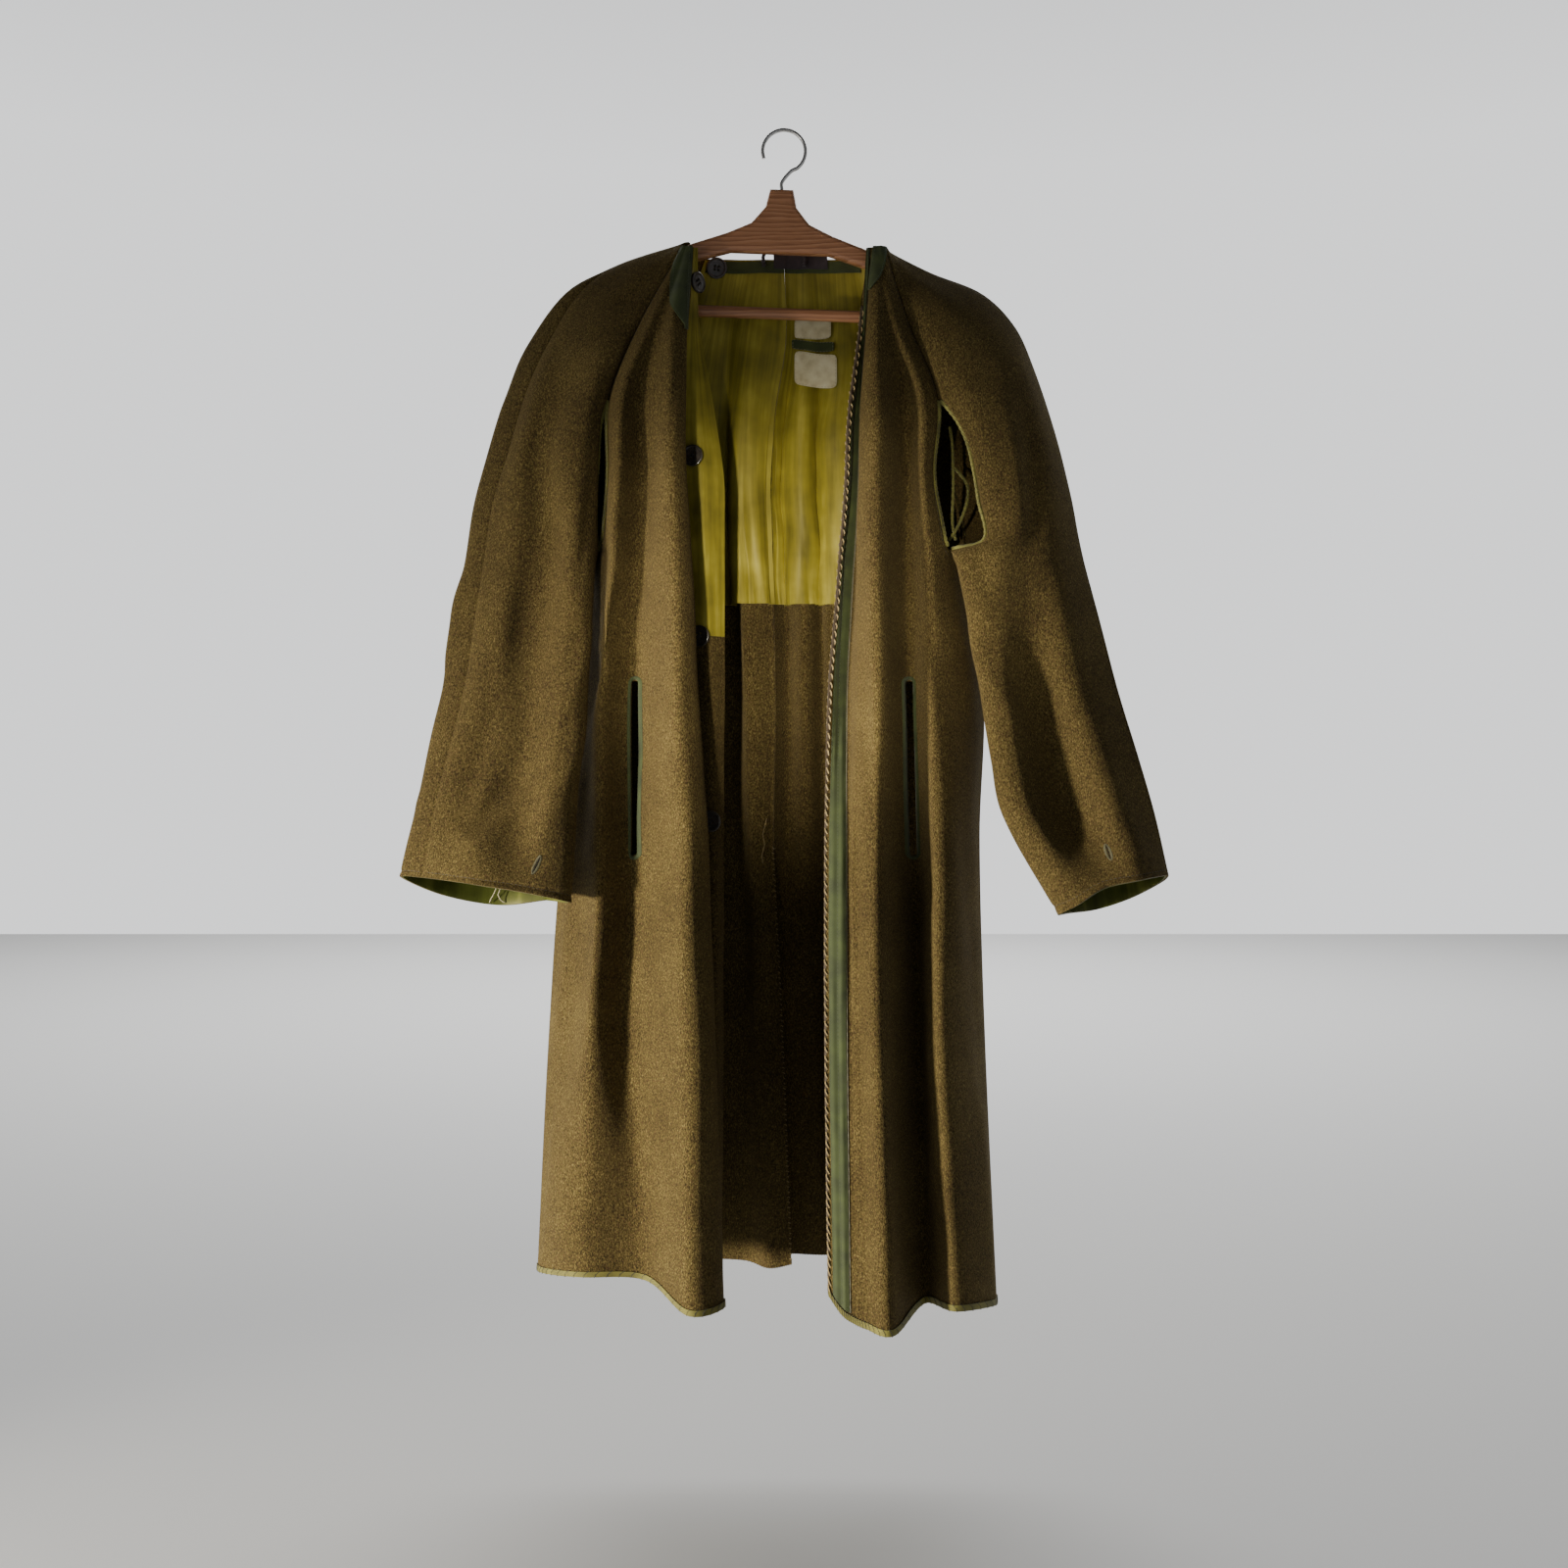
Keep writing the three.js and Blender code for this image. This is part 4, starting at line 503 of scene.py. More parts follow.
sleeve_left_back = arm(SLEEVE_BACK, [
    (124, [98, 100, 100, 97, 88], [17, 22, 27, 32, 36], [118, 119, 120, 122, 124]),
    (165, [152, 148, 137, 122, 103], [17, 25, 32, 37, 40], [143, 145, 150, 157, 165]),
    (205, [204, 200, 182, 152, 118], [14, 25, 34, 40, 42], [165, 167, 176, 190, 205]),
    (246, [238, 233, 214, 178, 137], [10, 24, 36, 43, 43], [200, 203, 214, 228, 246]),
    (284, [257, 252, 232, 198, 156], [6, 24, 38, 46, 44], [243, 246, 255, 268, 284]),
    (335, [279, 274, 252, 215, 170], [2, 20, 38, 46, 40], [312, 314, 320, 328, 335]),
    (386, [294, 289, 266, 228, 181], [-6, 14, 34, 42, 26], [378, 379, 382, 385, 386]),
    (415, [300, 295, 272, 232, 186], [-11, 10, 31, 38, 14]),
    (436, [304, 299, 276, 235, 186], [-13, 8, 29, 35, 0]),
    (450, [307, 302, 279, 237, 182], [-15, 6, 27, 33, -12]),
    (500, [319, 315, 290, 248, 205], [-22, 0, 22, 28, -8]),
    (575, [337, 334, 308, 264, 222], [-30, -8, 14, 20, -4]),
    (645, [356, 353, 327, 283, 234], [-43, -19, 4, 10, -12]),
    (700, [370, 368, 342, 298, 246], [-52, -28, -6, -2, -20]),
    (790, [381, 378, 352, 318, 285], [-68, -42, -20, -14, -35], [759, 768, 785, 797, 800]),
], back_left, "left_back", True, [
    (0.9, 570, 3.1, 690, -4.5, 13), (0.8, 480, 2.9, 550, 3.5, 12), (1.3, 300, 2.4, 450, 3, 12),
    (1.2, 690, 3.2, 750, 3, 10),
])


class Socket:
    """A shader socket that numbers and other sockets can be added to, taken from and multiplied by."""

    def __init__(self, tree, socket=None):
        self.tree, self.socket = tree, socket

    def node(self, kind, settings=None, out=0, **inputs):
        made = self.tree.nodes.new("ShaderNode" + kind)
        for key, value in (settings or {}).items():
            if key == "stops":
                ramp = made.color_ramp.elements
                while len(ramp) < len(value):
                    ramp.new(0.5)
                for stop, (place, colour) in zip(ramp, value):
                    stop.position, stop.color = place, (*colour, 1)
            else:
                setattr(made, key, value)
        for key, value in inputs.items():
            socket = made.inputs[int(key[1:])] if key[1:].isdigit() else made.inputs[key.replace("_", " ")]
            if isinstance(value, Socket):
                self.tree.links.new(value.socket, socket)
            else:
                socket.default_value = value
        return Socket(self.tree, made.outputs[out])

    def maths(self, operation, a, b=0.0):
        return self.node("Math", {"operation": operation}, n0=a, n1=b)

    def __add__(self, other):
        return self.maths("ADD", self, other)

    def __mul__(self, other):
        return self.maths("MULTIPLY", self, other)

    def __sub__(self, other):
        return self.maths("SUBTRACT", self, other)


def finish(name, look):
    """A material whose look gives the shader's own values, numbers or sockets."""
    material = bpy.data.materials.new(name)
    material.use_nodes = True
    tree = material.node_tree
    shader = tree.nodes["Principled BSDF"]
    for key, value in look(Socket(tree)).items():
        if isinstance(value, Socket):
            tree.links.new(value.socket, shader.inputs[key])
        else:
            shader.inputs[key].default_value = value
    return material


def wool_look(new):
    place = new.node("TexCoord", out="Object")
    drawn = new.node("Mapping", Vector=place, Scale=(1, 1, 0.55))
    heather = new.node("TexNoise", Vector=drawn, Scale=850, Detail=2, Roughness=0.6)
    fibre = new.node("TexNoise", Vector=drawn, Scale=2300, Detail=3, Roughness=0.7)
    worn = new.node("TexNoise", Vector=place, Scale=14, Detail=4, Roughness=0.6)
    tone = heather * 0.7 + fibre * 0.3 + (worn - 0.5) * 0.16
    colour = new.node("ValToRGB", {"stops": [
        (0.35, (0.017, 0.012, 0.005)), (0.44, (0.046, 0.032, 0.0105)), (0.51, (0.082, 0.060, 0.018)),
        (0.58, (0.132, 0.099, 0.030)), (0.69, (0.27, 0.205, 0.072)),
    ]}, Fac=tone)
    speck = new.node("TexNoise", Vector=drawn, Scale=1150, Detail=1)
    spots = new.node("ValToRGB", {"stops": [(0.56, (0, 0, 0)), (0.66, (0.7, 0.7, 0.7))]}, Fac=speck)
    plum = new.node("MixRGB", Fac=spots, Color1=colour, Color2=(0.105, 0.056, 0.026, 1))
    nap = new.node("Bump", Strength=0.8, Distance=0.0016, Height=heather * 0.6 + fibre * 0.6)
    return {
        "Base Color": plum, "Roughness": 0.94, "Normal": nap, "Specular IOR Level": 0.15,
        "Sheen Weight": 0.14, "Sheen Roughness": 0.4, "Sheen Tint": (0.95, 0.7, 0.32, 1),
    }


wool = finish("wool_frieze", wool_look)

centre_mitre = seam_mitre(back_right, 5, back_left, 0)


def centre_seam(s, own):
    return np.where((s < VENT_TOP)[:, None], centre_mitre(s), own)


def joined(a, place_a, b, place_b):
    shared = seam_mitre(a, place_a, b, place_b)
    return lambda s, own: shared(s)


over_right = joined(sleeve_right_front, 5, sleeve_right_back, 0)
over_left = joined(sleeve_left_front, 5, sleeve_left_back, 0)
body_rows = spread(NECK, HEM, 6.5, SLOT_TOP, SLOT_BOTTOM, ARMPIT, VENT_TOP)
cuff_groove = [CUFF - up for up in (11, 9, 7, 5, 3, 1)]
sleeve_rows = spread(NECK, CUFF, 6, SLOT_TOP, SLOT_BOTTOM, ARMPIT, *cuff_groove)

# Each front has an upright slit at its valley, through which the wearer reaches the coat outside.
SLIT = {"top": 566, "bottom": 742, "width": 7, "binding": 4}


def slit_reach(panel):
    """Half the slit's width as a share of the step between two lines."""
    ends = panel.base([VALLEY - 0.1, VALLEY + 0.1], [SLIT["top"]])[0, :, 0]
    return SLIT["width"] / 2 / (abs(ends[1] - ends[0]) / 0.2)


WOOL_PANELS = [
    # node, panel, first c, last c, columns, rows, first edge, last edge
    ("front_right", front_right, RECESS, SIDE, 110, body_rows,
     True, underarm(front_right, sleeve_right_front, back_right, -1)),
    ("front_left", front_left, 0, SIDE, 130, body_rows,
     None, underarm(front_left, sleeve_left_front, back_left, 1)),
    ("back_right", back_right, 0, 5, 80, body_rows,
     underarm(back_right, sleeve_right_back, front_right, -1), centre_seam),
    ("back_left", back_left, 0, 6, 90, body_rows,
     centre_seam, underarm(back_left, sleeve_left_back, front_left, 1)),
    ("sleeve_right_front", sleeve_right_front, 0, 5, 70, sleeve_rows,
     underarm(sleeve_right_front, front_right, sleeve_right_back, -1), over_right),
    ("sleeve_right_back", sleeve_right_back, 0, 4, 60, sleeve_rows,
     over_right, underarm(sleeve_right_back, back_right, sleeve_right_front, -1)),
    ("sleeve_left_front", sleeve_left_front, 0, 5, 70, sleeve_rows,
     underarm(sleeve_left_front, front_left, sleeve_left_back, 1), over_left),
    ("sleeve_left_back", sleeve_left_back, 0, 4, 60, sleeve_rows,
     over_left, underarm(sleeve_left_back, back_left, sleeve_left_front, 1)),
]
for node, panel, start, end, columns, rows, first, last in WOOL_PANELS:
    near = NEAR_SEAM / panel.pitch
    places, slit, down = spread(start, end, (end - start) / columns, *start + near, *end - near), None, rows
    if node.startswith("front"):
        reach = slit_reach(panel)
        slit = (SLIT["top"] + 1, SLIT["bottom"] - 1, VALLEY - reach, VALLEY + reach)
        places = spread(start, end, (end - start) / columns, *start + near, *end - near, *slit[2:])
        down = spread(NECK, HEM, 6.5, SLOT_TOP, SLOT_BOTTOM, ARMPIT, VENT_TOP, *slit[:2])
    layer(node + "_wool", panel, places, down, 0, WOOL, wool, first, last, slit)
    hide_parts(node)

# The free edges are whipped by hand with thick tan yarn over a dark-brown cord: the left front's whole edge and,
# in thin thread, the open edges of the back vent. Each stitch goes in through the face, over the edge and behind.
THREAD = 0.42
TAN = (0.42, 0.31, 0.13)


def thread_look(colour):
    def look(new):
        place = new.node("TexCoord", out="Object")
        ply = new.node("TexNoise", Vector=place, Scale=2400, Detail=2)
        tone = new.node("MixRGB", {"blend_type": "MULTIPLY"}, Fac=0.6, Color1=(*colour, 1), Color2=ply)
        twist = new.node("Bump", Strength=0.6, Distance=0.0003, Height=ply)
        return {"Base Color": tone, "Roughness": 0.7, "Normal": twist, "Sheen Weight": 0.2}

    return look


def sewing(name, stitches, radius, material):
    """Short threads as one mesh, each a four-sided tube through its points in millimetres."""
    points, faces, start = [], [], 0
    for size in sorted({len(line) for line in stitches}):
        lines = np.stack([line for line in stitches if len(line) == size])
        ahead = unit(np.gradient(lines, axis=1))
        side = unit(np.cross(ahead, (0.31, -0.82, 0.48))) * radius
        up = np.cross(side, ahead)
        points.append(np.stack([lines + side, lines + up, lines - side, lines - up], 2).reshape(-1, 3))
        ring = start + np.arange(len(lines) * size * 4).reshape(-1, size, 4)
        beside = np.roll(ring, -1, axis=2)
        faces.append(np.stack([ring[:, :-1], ring[:, 1:], beside[:, 1:], beside[:, :-1]], -1).reshape(-1, 4))
        faces += [ring[:, 0], ring[:, -1, ::-1]]
        start += ring.size
    return mesh_of(name, np.concatenate(points), np.concatenate(faces), material)


def tube(name, marks, radius, sides, count, material, twist=0.0):
    """A round rod or cord through marks, capped at both ends."""
    line = smooth(np.arange(len(marks)), marks, np.linspace(0, len(marks) - 1, count))
    ahead = unit(np.gradient(line, axis=0))
    side = unit(np.cross(ahead, (0.0, 1.0, 0.02)))
    up = np.cross(side, ahead)
    turn = np.linspace(0, 2 * math.pi, sides, endpoint=False)
    wrap = turn[None] + np.arange(count)[:, None] * twist
    swell = radius * (1 + (0.12 * np.cos(3 * turn) if twist else 0))
    across, along_up = (swell * np.cos(wrap))[..., None], (swell * np.sin(wrap))[..., None]
    rings = line[:, None] + side[:, None] * across + up[:, None] * along_up
    order = np.arange(count * sides).reshape(count, sides)
    beside = np.roll(order, -1, axis=1)
    faces = np.stack([order[:-1], order[1:], beside[1:], beside[:-1]], -1).reshape(-1, 4).tolist()
    faces += [order[0].tolist(), order[-1, ::-1].tolist()]
    return mesh_of(name, rings.reshape(-1, 3), faces, material)


def along(panel, c, s, high):
    """Points at places c and rows s, one by one, so far above the cloth."""
    c, s, high = np.broadcast_arrays(*(np.asarray(part, float) for part in (c, s, high)))
    at = c.ravel(), s.ravel()
    found = panel.points(*at, True) + panel.out(*at, None, True) * high.reshape(-1, 1)
    return found.reshape(*c.shape, 3)


def oversewn(panel, c, way, rows, deep):
    """Slanting stitches over a panel's free edge. way is which side of the edge the cloth lies on."""
    reach = deep * (0.85 + 0.3 * np.sin(np.arange(len(rows)) * 1.7))[:, None] / panel.pitch
    over = c + way * (reach * [1, 0.3, 0, 0, 0.8] - [0, 0, 0.02, 0.02, 0])
    high = [THREAD * 0.6, THREAD * 0.9, THREAD * 0.4, -WOOL - THREAD, -WOOL - THREAD]
    return along(panel, over, rows[:, None] + [1.6, 0.8, 0, -0.8, -1.4], high)


tan_thread = finish("tan_thread", thread_look(TAN))
cord_brown = finish("edge_cord", thread_look((0.062, 0.036, 0.012)))
CORD, YARN = 1.7, 0.85
edge_rows = spread(NECK + 60, HEM - 1, 9)
edge_line = along(front_left, 0, edge_rows, -WOOL / 2)
front_cord = tube("front_edge_cord", edge_line, CORD, 12, 420, cord_brown, twist=0.4)
whip = np.arange(NECK + 66, HEM - 6, 8.6)
wander = 0.5 * np.sin(np.arange(len(whip)) * 1.9)[:, None]
inward = np.array([3.4, 1.9, 0.3, -0.95, -1.0, 0.8]) + wander * [1, 0.6, 0, 0, 0, 0]
front_edge = sewing("front_edge_stitches", along(
    front_left, inward / front_left.pitch, whip[:, None] + np.array([4.6, 3.0, 1.3, -0.6, -2.6, -4.4]) + wander,
    [-0.1, 0.85, 1.25, 0.3, -WOOL - 0.4, -WOOL - 0.9],
), YARN, tan_thread)
vent_rows = np.arange(VENT_TOP + 12, HEM - 4, 5.6)
vent_edges = sewing("vent_stitches", [
    *oversewn(back_right, 5, -1, vent_rows, 5), *oversewn(back_left, 0, 1, vent_rows[::2], 5),
], THREAD, tan_thread)

# A thread end hangs loose from the top of the vent.
loose = [(-18, 33, -706), (-19.5, 30, -712), (-22, 29, -722), (-20, 29, -733), (-23, 30, -744), (-22, 30.5, -752)]
vent_thread = sewing("vent_thread_end", [loose], THREAD * 0.9, tan_thread)

# The lining is olive-yellow satin: the two halves of the upper back, gathered at their lower edge, the upper part
# of the button strip and the insides of the cuffs. It is a thin, smooth weave that shines along its folds.
SATIN = 1.0
LINED_CLEAR, GATHER, GATHER_FROM = 0.9, 7, 258


def satin_look(shades, new):
    place = new.node("TexCoord", out="UV")
    weave = new.node("Mapping", Vector=place, Scale=(1, 0.05, 1))
    yarn = new.node("TexNoise", Vector=weave, Scale=1800, Detail=2)
    # Long strips along the warp: painted sheen lines in the colour, which also raise the ribs.
    sheen_streak = new.node("TexNoise", Vector=weave, Scale=130, Detail=4, Roughness=0.6)
    age = new.node("TexNoise", Vector=new.node("TexCoord", out="Object"), Scale=24, Detail=3)
    colour = new.node("ValToRGB", {"stops": list(zip((0.3, 0.52, 0.72), shades))}, Fac=sheen_streak * 0.5 + age * 0.5)
    ribs = new.node("Bump", Strength=0.25, Distance=0.0005, Height=yarn + sheen_streak)
    return {
        "Base Color": colour, "Roughness": 0.42, "Normal": ribs, "Sheen Weight": 0.12,
        "Sheen Tint": (0.9, 0.8, 0.2, 1), "Specular IOR Level": 0.35, "Specular Tint": (1, 0.9, 0.45, 1),
    }


back_shades = (0.105, 0.088, 0.016), (0.29, 0.24, 0.030), (0.52, 0.44, 0.070)
# The cuffs take the same satin painted much darker: painted shade for the insides of the cuffs.
cuff_painted_shade_stops = (0.012, 0.016, 0.004), (0.05, 0.062, 0.010), (0.15, 0.155, 0.032)
satin = finish("satin", lambda new: satin_look(back_shades, new))
cuff_satin_painted_shade = finish("cuff_satin_painted_shade", lambda new: satin_look(cuff_painted_shade_stops, new))


def under_lining(panel, gathers, width):
    def deep(c, s):
        swell = np.clip((s - GATHER_FROM) / (LINING_HEM - GATHER_FROM), 0, 1)[:, None]
        drift = 0.35 * np.sin(s / 43)[:, None] * np.sin(math.pi * c / width)[None]
        fold = np.abs(np.sin(math.pi * gathers * c[None] / width + drift)) ** 1.3
        drawn = np.clip((s - LINING_HEM + 34) / 34, 0, 1)[:, None] ** 2
        pucker = np.abs(np.sin(math.pi * 4.6 * gathers * c / width + 0.6 * np.sin(9 * c)))[None, :]
        across, down = np.meshgrid(c * panel.pitch, s)
        wrinkle = np.sin(across / 9 + down / 17) * np.sin(down / 41 - across / 23) + 1
        wrinkle = wrinkle + 0.8 * (np.sin(across / 5 - down / 29 + 2) * np.sin(down / 53 + across / 31) + 1)
        away = np.clip((s - 260) / 50, 0, 1)[:, None]
        return WOOL + LINED_CLEAR + GATHER * swell * fold + 1.6 * drawn * pucker + 0.8 * wrinkle * away

    return deep


lining_rows = spread(NECK + 1, LINING_HEM, 4, SLOT_TOP, ARMPIT)
for node, panel, start, end, gathers, width, first, last in [
    ("lining_back_right", back_right, 5 / 12, 5, 6, 5, None, centre_seam),
    ("lining_back_left", back_left, 0, 6 * 13 / 14, 6, 6, centre_seam, None),
]:
    deep = under_lining(panel, gathers, width)
    layer(
        node + "_satin", panel, np.linspace(start, end, 190), lining_rows,
        deep, lambda c, s, deep=deep: deep(c, s) + SATIN, satin, first, last,
    )
    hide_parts(node)

STRIP = 1.6
for node, rows, material, slot in [
    ("button_strip_satin", spread(NECK, STRIP_SEAM - HALF_SEAM, 6), satin, "satin"),
    ("button_strip_wool", spread(STRIP_SEAM + HALF_SEAM, HEM, 6), wool, "wool"),
]:
    places = np.linspace(0, RECESS, 40)
    layer(node + "_cloth", front_right, places, rows, 0, STRIP, material, None, True)
    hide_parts(node)

LIFT = 0.35
cuff_rows = spread(700, CUFF, 6)
for side, front, back, over in [
    ("right", sleeve_right_front, sleeve_right_back, over_right),
    ("left", sleeve_left_front, sleeve_left_back, over_left),
]:
    under = joined(front, 0, back, 4)
    for half, panel, end, first, last in [("front", front, 5, under, over), ("back", back, 4, over, under)]:
        node = f"cuff_lining_{side}_{half}"
        near = NEAR_SEAM / panel.pitch
        places = spread(0, end, end / 60, *near, *end - near)
        layer(
            node + "_satin", panel, places, cuff_rows,
            WOOL + LIFT, WOOL + LIFT + SATIN, cuff_satin_painted_shade, first, last,
        )
        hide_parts(node)

# Green cotton tape covers the raw edges: down the left front's face behind its edge, round the neck, and over
# the top of the lining. It is a narrow twill, machine-sewn along both sides.
TAPE = 1.0
GREEN = (0.036, 0.050, 0.009)


def tape_look(colour):
    def look(new):
        place = new.node("TexCoord", out="Object")
        twill = new.node("TexWave", {"bands_direction": "DIAGONAL"}, Vector=place, Scale=420, Distortion=1.5)
        age = new.node("TexNoise", Vector=place, Scale=60, Detail=4)
        dark = tuple(0.45 * part for part in colour)
        light = tuple(min(1, 1.7 * part) for part in colour)
        stops = [(0.25, dark), (0.5, colour), (0.8, light)]
        tone = new.node("ValToRGB", {"stops": stops}, Fac=age * 0.75 + twill * 0.25)
        ribs = new.node("Bump", Strength=0.35, Distance=0.0004, Height=twill)
        return {"Base Color": tone, "Roughness": 0.8, "Normal": ribs, "Sheen Weight": 0.15}

    return look


green = finish("green_tape", tape_look(GREEN))
green_thread = finish("green_thread", thread_look((0.06, 0.08, 0.03)))


def paced(line):
    """The length of a line of points, and what gives the points at given lengths along it."""
    far = np.concatenate([[0], np.cumsum(np.linalg.norm(np.diff(line, axis=0), axis=1))])

    def at(lengths):
        return np.array([np.interp(lengths, far, line[:, axis]) for axis in range(3)]).T

    return far[-1], at


def running(panel, c, s, high, length=2.6, gap=1.6):
    """A row of machine stitches along a line on a panel."""
    whole, at = paced(along(panel, c, s, high))
    starts = np.arange(0, whole - length, length + gap)
    return [at(np.array([start, start + length / 2, start + length])) for start in starts]


def trim(node, panel, c, s, near, far, material, ends=(None, None)):
    made = layer(node + "_strip", panel, c, s, near, far, material, *ends)
    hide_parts(node)
    return made


def crowned(c, s):
    """Two soft ribs along the tape, each side of its middle."""
    across = (np.asarray(c) - c[0]) / (c[-1] - c[0])
    rib = 0.75 * np.sin(2 * math.pi * np.clip(across, 0, 1)) ** 2 * (1 + 0.3 * (across > 0.5))
    wave = 1 + 0.35 * np.sin(np.asarray(s) / 37)[:, None] * np.sin(np.asarray(s) / 13)[:, None]
    return -LIFT - TAPE - rib[None] * wave


trims = {}
tape_rows = spread(NECK + 1, HEM - 8, 7)
tape_width = np.linspace(1 / 3, 5 / 3, 25)
trims["front_left"] = [
    trim("front_tape_left", front_left, tape_width, tape_rows, crowned, -LIFT, green),
    front_edge, front_cord,
]
tape_sewing = [
    *running(front_left, 0.40, tape_rows, LIFT + TAPE + 0.1),
    *running(front_left, 1.02, tape_rows, LIFT + TAPE + 0.1),
]
pale_thread = finish("pale_thread", thread_look((0.22, 0.21, 0.13)))
tape_cord = tube("front_tape_cord", along(front_left, 1.76, tape_rows, 0.5), 0.55, 8, 420, pale_thread, twist=0.5)
trims["front_left"].append(tape_cord)


class Narrowing:
    """A panel's face from its lip outwards, over a width that narrows down the neck."""

    def __init__(self, panel, widest, end):
        self.panel, self.widest, self.end = panel, widest, end
        self.turned, self.pitch = panel.turned, panel.pitch * widest

    def points(self, t, s, paired=False):
        t, s = np.atleast_1d(np.asarray(t, float)), np.atleast_1d(np.asarray(s, float))
        if not paired:
            grid = self.points(np.tile(t, len(s)), np.repeat(s, len(t)), True)
            return grid.reshape(len(s), len(t), 3)
        width = self.widest * np.maximum(0.06, 1 - (s - NECK) / (self.end - NECK))
        return self.panel.points(LIP + t * width, s, True)

    def out(self, t, s, of=None, paired=False):
        return Panel.out(self, t, s, self.points, paired)


NECK_CLEAR = 1.3
for node, panel, end, last_row in [
    ("neck_tape_right", front_right, 218, 216), ("neck_tape_left", front_left, 174, 172),
]:
    narrow = Narrowing(panel, 4.9, end)
    rows = spread(NECK, last_row, 4)
    made = trim(node, narrow, np.linspace(0, 1, 22), rows, -NECK_CLEAR - TAPE, -NECK_CLEAR, green)
    trims.setdefault(node.replace("neck_tape", "front"), []).append(made)
    for t in (0.12, 0.86):
        tape_sewing += running(narrow, t, rows, NECK_CLEAR + TAPE + 0.1)
LINED = WOOL + LINED_CLEAR + SATIN
back_tape_rows = [NECK + 2, NECK + 6, NECK + 10, NECK + 14]
for node, panel, start, end, ends in [
    ("neck_tape_back_right", back_right, 5 / 6, 5, (None, centre_seam)),
    ("neck_tape_back_left", back_left, 0, 36 / 7, (centre_seam, None)),
]:
    made = trim(
        node, panel, np.linspace(start, end, 40), back_tape_rows,
        LINED + LIFT, LINED + LIFT + TAPE, green, ends,
    )
    trims[node.replace("neck_tape", "lining")] = [made]
    inside = np.linspace(start + 0.1, end - 0.1, 40)
    tape_sewing += running(panel, inside, NECK + 12.5, -LINED - LIFT - TAPE - 0.1)
green_sewing = sewing("green_tape_stitches", tape_sewing, 0.28, green_thread)

# Yellow-green binding covers the hem of each panel and both edges of the underarm slots. It is oversewn with a
# near-black thread whose slanting stitches show at every step.
BINDING_WIDTH = 6
SLOT_LIFT = 0.7
binding = finish("binding", tape_look((0.15, 0.135, 0.020)))
black_thread = finish("black_thread", thread_look((0.022, 0.02, 0.018)))
dark_sewing = []
hem_rows = [HEM - BINDING_WIDTH, HEM - 4, HEM - 2, HEM]
for node, panel, start, end in [
    ("hem_front_right", front_right, RECESS, SIDE), ("hem_front_left", front_left, 0, SIDE),
    ("hem_back_right", back_right, 0, 5), ("hem_back_left", back_left, 0, 6),
]:
    inner = 0.02 if node != "hem_front_left" else 0
    inside = np.linspace(start + inner, end - 0.02, 90)
    made = trim(node, panel, inside, hem_rows, -LIFT - TAPE, -LIFT, binding)
    trims.setdefault(node.replace("hem_", ""), []).append(made)
    every = 4.6 / panel.pitch
    places = np.arange(start + every, end - every, every)[:, None] + np.array([0, 0.4, 0.5, 0.5]) * every
    face = LIFT + TAPE + 0.15
    down = [HEM - BINDING_WIDTH - 1, HEM - 3, HEM + 0.4, HEM + 0.4]
    dark_sewing += list(along(panel, places, down, [face, face, face, -WOOL - 0.4]))
slot_rows = spread(309, 415, 6)
for node, panel, start, end, rows in [
    ("slot_front_right_body", front_right, SIDE - 1 / 3, SIDE, slot_rows),
    ("slot_front_right_sleeve", sleeve_right_front, 0, 1 / 3, slot_rows),
    ("slot_front_left_body", front_left, SIDE - 1 / 3, SIDE, slot_rows),
    ("slot_front_left_sleeve", sleeve_left_front, 0, 1 / 3, slot_rows),
    ("slot_back_right_body", back_right, 0, 0.13, slot_rows[6:]),
    ("slot_back_right_sleeve", sleeve_right_back, 4 - 0.065, 4, slot_rows[6:]),
    ("slot_back_left_body", back_left, 6 - 0.13, 6, slot_rows[6:]),
    ("slot_back_left_sleeve", sleeve_left_back, 4 - 0.065, 4, slot_rows[6:]),
]:
    made = trim(node, panel, np.linspace(start, end, 7), rows, -SLOT_LIFT - TAPE, -SLOT_LIFT, binding)
    words = node.split("_")
    owner = f"sleeve_{words[2]}_{words[1]}" if words[3] == "sleeve" else f"{words[1]}_{words[2]}"
    trims.setdefault(owner, []).append(made)
    edge, inner = (start, end) if start == 0 else (end, start)
    down = np.arange(rows[0] + 2, rows[-1] - 2, 4.2)[:, None] + np.array([0, 1.2, 2.2])
    dark_sewing += list(along(panel, [inner, (inner + edge) / 2, edge], down, SLOT_LIFT + TAPE + 0.12))

# The binding is rolled over each slot's edge in a corded bead, which the slanting stitches pull into steps.
BEAD = 2.3
bead_cloth = finish("bead_cloth", tape_look((0.16, 0.15, 0.032)))
for node, panel, c, rows, owner in [
    ("slot_bead_right_body", front_right, SIDE, spread(SLOT_TOP + 3, 433, 8), "front_right"),
    ("slot_bead_right_sleeve", sleeve_right_front, 0, spread(SLOT_TOP + 3, 433, 8), "sleeve_right_front"),
    ("slot_bead_left_body", front_left, SIDE, spread(SLOT_TOP + 3, 433, 8), "front_left"),
    ("slot_bead_left_sleeve", sleeve_left_front, 0, spread(SLOT_TOP + 3, 434, 4), "sleeve_left_front"),
]:
    line = along(panel, c, rows, 0.5)
    made = tube(node, line, BEAD, 12, 120, bead_cloth, twist=0.5)
    trims[owner].append(made)

